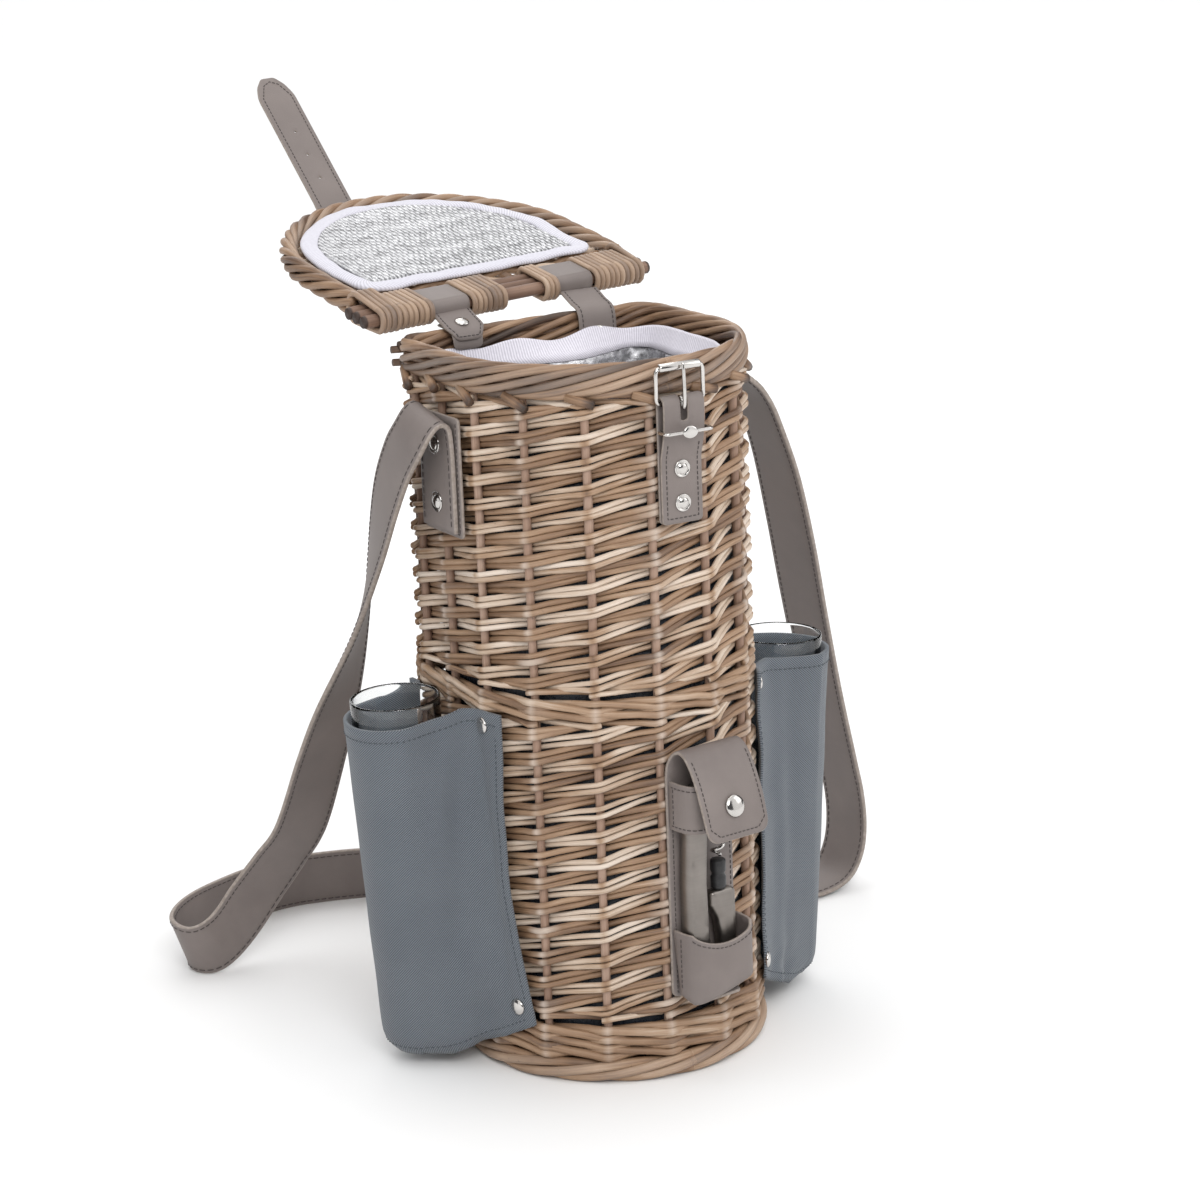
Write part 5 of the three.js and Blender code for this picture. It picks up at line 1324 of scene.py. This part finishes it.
# Shoulder strap: middles of the hanging part, then the direction across it
STRAP_ROWS = [
    (-104, 24, 356, -0.02, -1, 0),
    (-106, 34, 343, -0.06, -0.98, -0.15),
    (-107, 48, 321, -0.12, -0.97, -0.1),
    (-105, 66, 293, -0.25, -0.95, 0.05),
    (-101.5, 86, 265, -0.38, -0.9, 0.18),
    (-99.5, 105, 235, -0.49, -0.83, 0.26),
    (-100, 121, 208, -0.62, -0.7, 0.35),
    (-101, 138, 180, -0.74, -0.53, 0.42),
    (-103, 160, 141, -0.85, -0.33, 0.41),
    (-107, 186, 92, -0.83, -0.28, 0.48),
    (-115, 202, 68, -0.79, -0.22, 0.57),
    (-126, 212, 48, -0.75, -0.16, 0.64),
    (-143, 216, 26, -0.66, -0.1, 0.74),
    (-158, 213, 18.5, -0.55, -0.06, 0.83),
    (-169, 217, 16.5, -0.47, 0.02, 0.88),
    (-171, 229, 16.5, -0.42, 0.12, 0.9),
    (-163, 244, 17, -0.33, 0.1, 0.94),
    (-146, 260, 17.5, -0.2, 0.02, 0.98),
    (-122, 274, 18, -0.1, -0.08, 0.99),
    (-98, 283, 18, -0.02, -0.14, 0.99),
    (-72, 286, 18, 0, -0.17, 0.985),
    (-48, 281, 18, 0, -0.17, 0.985),
    (-24, 272, 18, 0, -0.2, 0.98),
    (6, 257, 17.5, -0.04, -0.28, 0.96),
    (38, 234, 16, -0.12, -0.42, 0.9),
    (68, 206, 12, -0.25, -0.6, 0.75),
    (97, 176, 8, -0.42, -0.76, 0.5),
    (125, 148, 4, -0.52, -0.82, 0.24),
    (155, 128, 2, -0.42, -0.9, 0.08),
    (185, 120, 2, -0.15, -0.98, 0.02),
    (212, 119, 2.5, 0, -1, 0),
    (231, 120, 8, 0.06, -1, 0),
    (241, 121, 22, 0.1, -0.99, 0),
    (243, 120, 42, 0.12, -0.99, 0),
    (238, 116, 66, 0.15, -0.98, -0.05),
    (229, 111, 92, 0.18, -0.97, -0.08),
    (209, 98, 145, 0.22, -0.96, -0.12),
    (187, 81, 204, 0.25, -0.94, -0.15),
    (166, 62, 255, 0.25, -0.94, -0.15),
    (145, 45, 303, 0.2, -0.95, -0.18),
    (124, 31, 340, 0.1, -0.97, -0.15),
    (111, 24, 357, 0.04, -1, -0.05),
]


def make_shoulder_strap():
    x, y, low, top = 89.1, 20, 305, 362
    start = [(-x, y, low), (-x, y, 333.5), (-x, y, top - 2), (-x - 1.5, y, top + 4.5)]
    start += [(-x - 6.2, y, top + 6.5), (-x - 11, y + 0.6, top + 2.5)]
    finish = [(x + 12, y + 0.6, top + 3), (x + 6.2, y, top + 6.5), (x + 1.5, y, top + 4.5)]
    finish += [(x, y, top - 2), (x, y, 333.5), (x, y, low)]
    upright = (0, -1, 0)
    rows = [(*p, *upright) for p in start] + STRAP_ROWS + [(*p, *upright) for p in finish]
    smooth = smooth_line(rows, 560)
    ribbon = Ribbon(smooth[:, :3], smooth[:, 3:])
    # leather turns slowly along its length
    spread = 12
    mean = np.ones(2 * spread + 1) / (2 * spread + 1)
    eased = [np.convolve(np.pad(ribbon.across[:, k], spread, "edge"), mean, "valid") for k in range(3)]
    ribbon.across = unit(np.stack(eased, 1))
    ribbon.normal = unit(np.cross(ribbon.across, tangents(ribbon.line)))
    # it lies on the floor, never in it: its thickness counts 1.1 mm more, for the threads on its two faces
    reach = (np.abs(ribbon.across[:, 2]) * CARRY_WIDE + np.abs(ribbon.normal[:, 2]) * (CARRY_THICK + 1.1)) / 2
    ribbon.line[:, 2] = np.maximum(ribbon.line[:, 2], reach + GAP)
    section = edge_section(CARRY_WIDE, CARRY_THICK, 0.9)
    points = swept(ribbon.line, ribbon.across, ribbon.normal, section)
    marks = np.tile(np.abs(section[:, 0]) > CARRY_WIDE / 2 - 0.6, len(ribbon.line))
    shell = Shell()
    shell.add(points, ring_faces(len(ribbon.line), len(section)), edge=marks, thread=0.0)
    for u in (-15.2, 15.2):
        for face in (-CARRY_THICK / 2, CARRY_THICK / 2):
            stitches(shell, ribbon.place, [(u, 3), (u, ribbon.length - 3)], face, 4.4, 0.7, 0.34)
    shell.piece("carry_strap", "basket", "leather", "leather", "shoulder_strap")

    for name, side in (("left", -1), ("right", 1)):
        shell = Shell()
        patch = Ribbon([(side * 86.3, y, z) for z in (302, 325, 345, 368)], (0, side, 0))
        plate(shell, patch.place, even_outline([(21, 0), (21, 66)], [3, 3]), 1.9, step=5)
        row = [(-18.8, 64), (-18.8, 2.2), (18.8, 2.2), (18.8, 64)]
        stitches(shell, patch.place, row, 0.95, 3.4)
        shell.piece(f"anchor_patch_{name}", "basket", "leather", "leather", f"strap_patch_{name}")
        for level, z in (("lower", 320), ("upper", 352)):
            names = (f"anchor_stud_{name}_{level}", "basket", f"strap_rivet_{name}_{level}")
            stud(*names, (side * 90.7, y, z), (side, 0, 0), 5.8, 1.7, True)


make_shoulder_strap()


# Glass pockets of cloth, sewn and riveted to the wall, and the glasses in them
POCKET_LOW = 8
POCKET_HIGH = 208
POCKET_BASE_X = 110.6
LEAN = math.radians(2)
POCKET_MIDDLE = {"left": 30, "right": 5}
CLOTH_STEPS = 110
CLOTH_ROWS = 60


def along_wall(middle, run, out):
    """Plan places on the left wall, so far towards the front from a pocket's middle."""
    if run <= middle - FRONT_Y:
        return np.array([-out, middle - run])
    angle = (run - (middle - FRONT_Y)) / FRONT_R
    return np.array([-out * math.cos(angle), FRONT_Y - out * math.sin(angle)])


def flange_run(middle, z):
    """Where the cloth's front edge lies on the wall: it runs further out towards the bottom."""
    return (53 if middle > 20 else 47) + 15 * np.clip((150 - z) / 116, 0, 1) ** 1.8


def pocket_plan(middle, z):
    """The cloth's middle line at a height, from its front edge round the glass to its back edge."""
    share = (z - POCKET_LOW) / (POCKET_HIGH - POCKET_LOW)
    radius = 22.3 + 6 * share
    centre = np.array([-POCKET_BASE_X - math.tan(LEAN) * (z - POCKET_LOW), middle])
    # the bottom is gathered in
    fall = max(0, (22 - z) / 14)
    radius -= 6 * (1 - math.sqrt(1 - min(fall, 1) ** 2))
    edge = flange_run(middle, z)
    seat = 34 + 17 * np.clip((200 - z) / 159, 0, 1)
    line = [along_wall(middle, run, 86.6) for run in (edge, (edge + seat) / 2, seat)]
    leave = centre + radius * np.array([-math.cos(1.3), -math.sin(1.3)])
    hang = (line[-1] + leave) / 2
    line.append(hang * 0.55 + along_wall(middle, seat - 14, 88) * 0.45)
    for a in np.linspace(1.3, math.radians(-112), 14):
        line.append(centre + radius * np.array([-math.cos(a), -math.sin(a)]))
    line += [(-87.6, middle + radius + 3.5), (-86.4, middle + radius + 8), (-86.4, middle + 41)]
    return smooth_line(line, CLOTH_STEPS)


class PocketCloth:
    """A grid of places on a left pocket's cloth, by row and by share of its width, and the ways out of it."""

    def __init__(self, name):
        middle = POCKET_MIDDLE[name]
        dip, fold_seed = (7.0, 5) if name == "left" else (4.5, 15)
        share = np.linspace(0, 1, CLOTH_STEPS)
        # the lower edge rises from the bottom of the sleeve to the corners of the flaps
        front, rear = np.clip((0.34 - share) / 0.34, 0, 1) ** 1.25, np.clip((share - 0.88) / 0.12, 0, 1)
        foot = POCKET_LOW + 24 * front + 22 * rear
        top = np.clip(np.sin(np.clip((share - 0.16) / 0.72, 0, 1) * math.pi), 0, 1) ** 0.6
        top = POCKET_HIGH - dip * top
        grid = np.zeros((CLOTH_ROWS, CLOTH_STEPS, 3))
        grid[..., 2] = foot + (top - foot) * (np.arange(CLOTH_ROWS) / (CLOTH_ROWS - 1))[:, None]
        levels = np.linspace(POCKET_LOW, POCKET_HIGH, 41)
        plans = np.array([pocket_plan(middle, z) for z in levels])
        for j in range(CLOTH_STEPS):
            for k in (0, 1):
                grid[:, j, k] = np.interp(grid[:, j, 2], levels, plans[:, j, k])
        out = unit(np.cross(np.gradient(grid, axis=0), np.gradient(grid, axis=1)))

        # folds in the web between sleeve and wall, deeper towards the bottom, where its corner puckers
        height = grid[..., 2]
        web = np.exp(-(((share - 0.2) / 0.07) ** 2)) + 0.7 * np.exp(-(((share - 0.84) / 0.05) ** 2))
        deeper = 1.3 + 2.0 * np.clip((120 - height) / 110, 0, 1)
        fold = waves(grid * (1, 1, 0.35), 16, fold_seed) * web * deeper
        loose = 0.35 + 0.65 * np.clip((np.abs(share - 0.52) - 0.2) / 0.1, 0, 1)
        pucker = np.exp(-(((share - 0.17) / 0.12) ** 2)) * np.clip((46 - height) / 34, 0, 1)
        soft = (0.5 * waves(grid, 34, 8) + fold) * loose + 1.5 * pucker * waves(grid, 8, 44)
        grid += out * soft[..., None]
        # nothing sinks into the rods
        away = np.hypot(grid[..., 0], np.minimum(grid[..., 1] - FRONT_Y, 0))
        push = np.maximum(86.0 / away, 1)
        grid[..., 0] *= push
        pushed = (grid[..., 1] - FRONT_Y) * push + FRONT_Y
        grid[..., 1] = np.where(grid[..., 1] < FRONT_Y, pushed, grid[..., 1])
        self.share, self.foot, self.top, self.grid, self.out = share, foot, top, grid, out

    def place(self, u, v, w):
        """Places by share of the width, height and distance out."""
        low, high = np.interp(u, self.share, self.foot), np.interp(u, self.share, self.top)
        i = np.clip((v - low) / (high - low), 0, 1) * (CLOTH_ROWS - 1)
        j = u * (CLOTH_STEPS - 1)
        i0 = np.clip(i.astype(int), 0, CLOTH_ROWS - 2)
        j0 = np.clip(j.astype(int), 0, CLOTH_STEPS - 2)
        a, b = (i - i0)[:, None], (j - j0)[:, None]
        at, out = (
            field[i0, j0] * (1 - a) * (1 - b) + field[i0 + 1, j0] * a * (1 - b)
            + field[i0, j0 + 1] * (1 - a) * b + field[i0 + 1, j0 + 1] * a * b
            for field in (self.grid, self.out)
        )
        return at + out * w[:, None]

    def skin(self, shell):
        """The cloth's two sides, thicker at the hem, and its edges."""
        rows, steps = CLOTH_ROWS, CLOTH_STEPS

        def cell(i, j, side):
            return (side * rows + i) * steps + j

        faces = []
        for i in range(rows - 1):
            for j in range(steps - 1):
                faces.append((cell(i, j, 0), cell(i, j + 1, 0), cell(i + 1, j + 1, 0), cell(i + 1, j, 0)))
                faces.append((cell(i, j, 1), cell(i + 1, j, 1), cell(i + 1, j + 1, 1), cell(i, j + 1, 1)))
        for j in range(steps - 1):
            for i in (0, rows - 1):
                faces.append((cell(i, j, 0), cell(i, j, 1), cell(i, j + 1, 1), cell(i, j + 1, 0)))
        for i in range(rows - 1):
            for j in (0, steps - 1):
                faces.append((cell(i, j, 0), cell(i + 1, j, 0), cell(i + 1, j, 1), cell(i, j, 1)))
        hem = np.clip((self.grid[..., 2] - (self.top - 7.5)) / 0.6, 0, 1)
        half = self.out * (0.75 + 0.35 * hem)[..., None]
        weft = np.zeros((2, rows, steps, 3))
        weft[..., 0] = lengths(self.grid[rows // 2])
        weft[..., 1] = self.grid[..., 2]
        points = np.stack([self.grid + half, self.grid - half])
        shell.add(points, faces, weft=weft.reshape(-1, 3), thread=0.0)

    def sew(self, shell, line, w):
        """Threads along a line of shares and heights, on the face at w."""
        pitch, long, t = 3.2, 0.62, np.linspace(0, 1, 60)
        line = np.asarray(line, float)
        seam = [np.interp(t, np.linspace(0, 1, len(line)), line[:, k]) for k in (0, 1)]
        along = lengths(self.place(*seam, np.full(len(t), w)))
        for s in np.arange(pitch / 2, along[-1] - pitch, pitch):
            at = np.interp(np.linspace(s, s + pitch * long, 4), along, t)
            u, v = (np.interp(at, t, row) for row in seam)
            lift = w + np.array([-0.25, 0.15, 0.15, -0.25])
            tube(shell, self.place(u, v, lift), 0.28, 5, thread=1.0, edge=0.0)


def make_pocket(name):
    middle = POCKET_MIDDLE[name]
    sign = 1 if name == "left" else -1
    cloth = PocketCloth(name)
    shell = Shell()
    cloth.skin(shell)
    hem = [(u, np.interp(u, cloth.share, cloth.top) - 6.5) for u in np.linspace(0.01, 0.99, 24)]
    cloth.sew(shell, hem, 1.25)
    for u in (0.022, 0.978):
        cloth.sew(shell, [(u, 196), (u, 120), (u, 44)], 0.85)
    lowest = [(u, np.interp(u, cloth.share, cloth.foot) + 5.5) for u in np.linspace(0.03, 0.97, 30)]
    cloth.sew(shell, lowest, 0.85)

    # The round bottom of the sleeve, from its outside in: radius and height
    profile = [(16.4, 11.5), (16.0, 9.2), (15.0, 7.9), (13.0, 7.3), (8, 7.0)]
    profile += [(8, 8.4), (13.0, 8.6), (15.2, 11.5)]
    angle = np.linspace(0, 2 * math.pi, 64, endpoint=False)
    circle = np.column_stack([np.cos(angle), np.sin(angle), np.zeros(64)])
    rows = np.array([circle * r + (-POCKET_BASE_X, middle, z) for r, z in profile])
    cup(shell, rows, 4, weft=rows.reshape(-1, 3), thread=0.0)
    mirror = (lambda p: p * (-1, 1, 1)) if name == "right" else None
    piece = shell.piece(f"cloth_pocket_{name}", "basket", "canvas", "canvas", f"pocket_{name}", change=mirror)

    for level, z, run in (("lower", 41, 57), ("upper", 200, 39)):
        u = np.array([(flange_run(middle, z) - run) / lengths(pocket_plan(middle, z))[-1]])
        seat, front = (cloth.place(u, np.array([z]), np.array([w]))[0] * (sign, 1, 1) for w in (0.7, 1.7))
        names = (f"pocket_stud_{name}_{level}", "basket", f"pocket_rivet_{name}_{level}")
        stud(*names, seat, front - seat, 4.7, 1.7)
        at = (-sign * 87.3, middle + 36.5, z)
        stud(f"rear_stud_{name}_{level}", "basket", None, at, (-sign, 0, 0), 4.7, 1.7)

    # The tumbler: its outside from the foot up, then its inside down to the thick bottom
    profile = [(0, 2.4), (17.2, 2.4), (18.6, 2.9), (19.1, 4.2), (22.0, 103), (24.9, 203.6)]
    profile += [(24.75, 204.6), (24.2, 205), (23.5, 204.6), (23.3, 203.6)]
    profile += [(20.4, 103), (17.6, 11), (16.6, 9.2), (14, 8.4), (0, 8.4)]
    shell = Shell()
    at = (-sign * POCKET_BASE_X, middle, POCKET_LOW)
    lathe(shell, profile, at, (-sign * math.sin(LEAN), 0, math.cos(LEAN)), 64)
    tumbler = shell.piece(f"tumbler_{name}", f"glass_{name}_body", "glass", "glass", f"glass_{name}")
    tumbler.visible_shadow = False


make_pocket("left")
make_pocket("right")


# Corkscrew and its leather holder, drawn about the centre of the round front and turned in place
HOLDER_TURN = math.radians(5.5)
CREST_Y = -94.4
CREST_Z = 189.3
ROOT_Y = -86.4
TOOL_Y = -94.0
TOOL_FOOT = 50.5
TOOL_LENGTH = 120.5
WORM_X = 4


def on_front(points):
    points = np.asarray(points, float)
    c, s = math.cos(HOLDER_TURN), math.sin(HOLDER_TURN)
    x, y = points[..., 0], points[..., 1]
    return np.stack([x * c - y * s, x * s + y * c + FRONT_Y, points[..., 2]], -1)


def make_holder():
    line = [(0, ROOT_Y, z) for z in (48, 80, 120, 155, 176)]
    line += [(0, ROOT_Y - 0.4, 182.5), (0, ROOT_Y - 2.4, 187.4), (0, CREST_Y + 1.5, 190.1)]
    line += [(0, ROOT_Y - out, CREST_Z - down) for out, down in ((13, 1.6), (20, 11), (27, 27), (32.5, 45))]
    ribbon = Ribbon(smooth_line(line, 180), RIGHT)
    end = ribbon.length
    # where the back leaves the wall, and the flap's crest
    root = ribbon.run[np.argmin(np.abs(ribbon.line[:, 2] - 178) + 100 * (ribbon.line[:, 1] < ROOT_Y - 3))]
    crest = ribbon.run[np.argmax(ribbon.line[:, 2])]

    def place(u, v, w):
        points = ribbon.place(u, v, w)
        sag = -ROOT_Y - np.sqrt(ROOT_Y**2 - np.asarray(u, float) ** 2)
        share = np.clip((crest - np.asarray(v, float)) / (crest - root), 0, 1)
        points[..., 1] += sag * share * share * (3 - 2 * share)
        return points

    side = [(22, 0), (22, root - 4), (20.6, crest), (21, end - 20), (20.4, end)]
    shell = Shell()
    plate(shell, place, even_outline(side, [4, 6, 10, 10, 8]), HOLDER_THICK, bevel=0.55, step=2.8)
    stitches(shell, place, mirrored([(18.2, crest + 9), (18.2, end - 8), (13, end - 3.2)]), -1.08, 2.8)
    stitches(shell, place, mirrored([(19.4, root - 8), (19.4, 2.6)]), 1.08, 3.0)
    nodes = ("holder_back", "holder_flap")
    back = shell.piece("holder_leather", None, "leather", "leather", *nodes, change=on_front)
    held, led = on_front([(0, -88.4, CREST_Z), (0, -96, CREST_Z)]) * 0.001
    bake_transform(back)

    make_loops()
    facing = on_front((0, -0.956, 0.292)) - on_front((0, 0, 0))
    stud("snap", "flap", "snap_cap", on_front((0, -115.2, 161.4)), facing, 6.2, 2.0)


def make_loops():
    """Band and bottom pocket bend out from the back and across the tool."""
    thick = 2.1
    loop = [(-21.2, -86.3), (-21.3, -89), (-21.1, -95), (-19.6, -101), (-15.5, -104.4), (-8, -105.2)]
    loop += [(0, -105.4)] + [(-x, y) for x, y in loop[::-1]]
    for name, low, high in (("band", 146, 173), ("pocket", 48, 88)):
        shell = Shell()
        # across the ribbon runs downwards, from -half at the top to half at the bottom
        half = (high - low) / 2
        bent = Ribbon(smooth_line([(x, y, low + half) for x, y in loop], 90), -UP)
        end = bent.length
        if name == "band":
            outline = even_outline([(half, 0), (half, end)], [1, 1])
            rows = [[(u, 2), (u, end - 2)] for u in (-half + 2.6, half - 2.6)]
            rows.append([(-half + 3, 4), (half - 3, 4)])
        else:
            # its top edge is scooped, and its lower corners are cut off
            v = np.linspace(end * 0.2, end * 0.8, 17)
            dip = 7 * np.sin((v - v[0]) / (v[-1] - v[0]) * math.pi) ** 0.8
            outline = [(-half, 0), *zip(dip - half, v), (-half, end)]
            outline += [(half - 17, end - 1), (half - 11, end - 10), (half, 15), (half - 4, 5)]
            rows = [list(zip(dip - half + 2.4, v)), [(-half + 3, 7), (half - 8, 7)]]
        plate(shell, bent.place, turned(outline, 1), thick, bevel=0.55, step=2.8)
        middle, out = bent.place(0.0, end / 2, np.array([0.0, 1.0]))
        face = thick / 2 if out[1] < middle[1] else -thick / 2
        for row in rows:
            stitches(shell, bent.place, row, face, 2.8)
        if name == "pocket":
            base = Ribbon([(0, y, 49.2) for y in (-88.5, -96, -103.5)], RIGHT)
            plate(shell, base.place, rounded([(-19.5, 0), (16, 0), (11, 14), (-15, 14)], 3), 2.0, step=4)
        names = (f"holder_{name}_leather", "basket", "leather", "leather", f"holder_{name}")
        shell.piece(*names, change=on_front)


# The folded tool: outlines are across in millimetres and along in shares of its length
HANDLE = [(-15, 0), (14, 0), (14, 0.041), (-3.5, 0.041), (-6.5, 0.286), (-7.5, 0.535), (-6, 0.826)]
HANDLE += [(-3, 0.975), (-8, 1), (-14, 0.975), (-17.5, 0.826), (-19, 0.535), (-18.5, 0.245)]
LEVER = [(3, 0.044), (13.5, 0.044), (13, 0.477), (-4, 0.477), (-4, 0.411), (0.5, 0.344), (2.5, 0.245)]


def make_tool():
    body = Ribbon([(0, TOOL_Y, TOOL_FOOT + s) for s in (0, 60, TOOL_LENGTH)], RIGHT)
    for name, rows, bends, thick in (
        ("handle", HANDLE, [5, 3, 2, 4, 40, 40, 30, 4, 4, 8, 30, 40, 30], 11.6),
        ("lever", LEVER, [2, 3, 4, 3, 3, 12, 12], 7.6),
    ):
        shell = Shell()
        outline = rounded([(x, share * TOOL_LENGTH) for x, share in rows], bends, 8)
        plate(shell, body.place, outline, thick, bevel=1.3, step=4)
        shell.piece(f"tool_{name}", "corkscrew", "steel", "tool_steel", f"corkscrew_{name}", change=on_front)

    # The hub has a groove round it
    shell = Shell()
    profile = [(0, 108.4), (3.6, 108.4), (4.3, 109.2), (4.35, 115), (3.7, 116.2)]
    profile += [(3.7, 117.4), (4.35, 118.6), (4.3, 124.2), (3.6, 124.9), (0, 124.9)]
    lathe(shell, profile, on_front((WORM_X, TOOL_Y, 0)), UP, 28)
    shell.piece("tool_hub", "corkscrew", "plastic", "black_plastic", "corkscrew_hub")

    shell = Shell()
    turns, pitch, radius = 5, 7.85, 3.1
    turn = np.linspace(0, turns * 2 * math.pi, 170)
    grow = radius * np.interp(turn, [0, 2, turn[-1] - 3, turn[-1]], [0.5, 1, 1, 0.45])
    rise = 126.6 + turn / (2 * math.pi) * pitch
    line = np.column_stack([WORM_X + grow * np.cos(turn), TOOL_Y + grow * np.sin(turn), rise])
    tube(shell, on_front(line), np.interp(turn, [0, turn[-1] - 6, turn[-1]], [1.12, 1.1, 0.35]), 10)
    shell.piece("tool_worm", "corkscrew", "nickel", "nickel", "corkscrew_worm")


make_holder()
make_tool()


# Floor, background and lamps: name, place, power and size
LAMPS = [
    ("key", (-0.7, -2.0, 1.8), 28, 1.1),
    ("fill", (1.9, -1.0, 1.3), 8, 1.4),
    ("top", (0.1, 0.4, 2.3), 9, 1.6),
    ("back", (0.6, 1.9, 1.5), 8, 1.2),
]
LAMPS_AIM = (0, 0, 0.22)
FLOOR_HALF = 40.0


def make_stage():
    mesh = bpy.data.meshes.new("floor")
    corners = [(x * FLOOR_HALF, y * FLOOR_HALF, 0) for x, y in ((-1, -1), (1, -1), (1, 1), (-1, 1))]
    mesh.from_pydata(corners, [], [(0, 1, 2, 3)])
    floor = bpy.data.objects.new("floor", mesh)
    look = Look("pale_floor")
    # the lamps light only its middle, so the paper there is a shade darker than further out
    away = look.node("ShaderNodeVectorMath", {0: look.place()}, operation="LENGTH").outputs["Value"]
    spread = {"Value": away, "From Min": 0.9, "From Max": 2.8}
    share = look.node("ShaderNodeMapRange", spread).outputs["Result"]
    look.set(Base_Color=look.ramp(share, [(0.0, 0.80), (1.0, 0.965)]), Roughness=0.9)
    mesh.materials.append(look.material)
    bpy.context.scene.collection.objects.link(floor)

    # Dark panels stand round the studio, seen only in polished metal and glass
    world = bpy.data.worlds.new("studio")
    bpy.context.scene.world = world
    world.use_nodes = True
    studio = Nodes(world.node_tree)
    way = studio.node("ShaderNodeTexCoord").outputs["Generated"]
    split = studio.node("ShaderNodeSeparateXYZ", {0: way})
    turn = studio.math("ARCTAN2", split.outputs[1], split.outputs[0])
    panel = studio.math("SINE", studio.math("ADD", studio.math("MULTIPLY", turn, 3.0), 0.7))
    panel = studio.math("GREATER_THAN", panel, -0.25)
    low = studio.math("LESS_THAN", split.outputs[2], 0.62)
    shiny = studio.node("ShaderNodeLightPath").outputs["Is Glossy Ray"]
    dark = studio.math("MULTIPLY", studio.math("MULTIPLY", panel, low), shiny)
    background = studio.tree.nodes["Background"]
    background.inputs["Strength"].default_value = 1.05
    studio.put(background.inputs["Color"], studio.mix(dark, (1, 1, 1), (0.07, 0.07, 0.075)))

    for name, place, power, size in LAMPS:
        data = bpy.data.lights.new(name, "AREA")
        data.energy = power
        data.size = size
        lamp = bpy.data.objects.new(name, data)
        lamp.location = place
        aim = Vector(LAMPS_AIM) - Vector(place)
        lamp.rotation_euler = aim.to_track_quat("-Z", "Y").to_euler()
        bpy.context.scene.collection.objects.link(lamp)
    bpy.context.scene.view_settings.view_transform = "Standard"


make_stage()
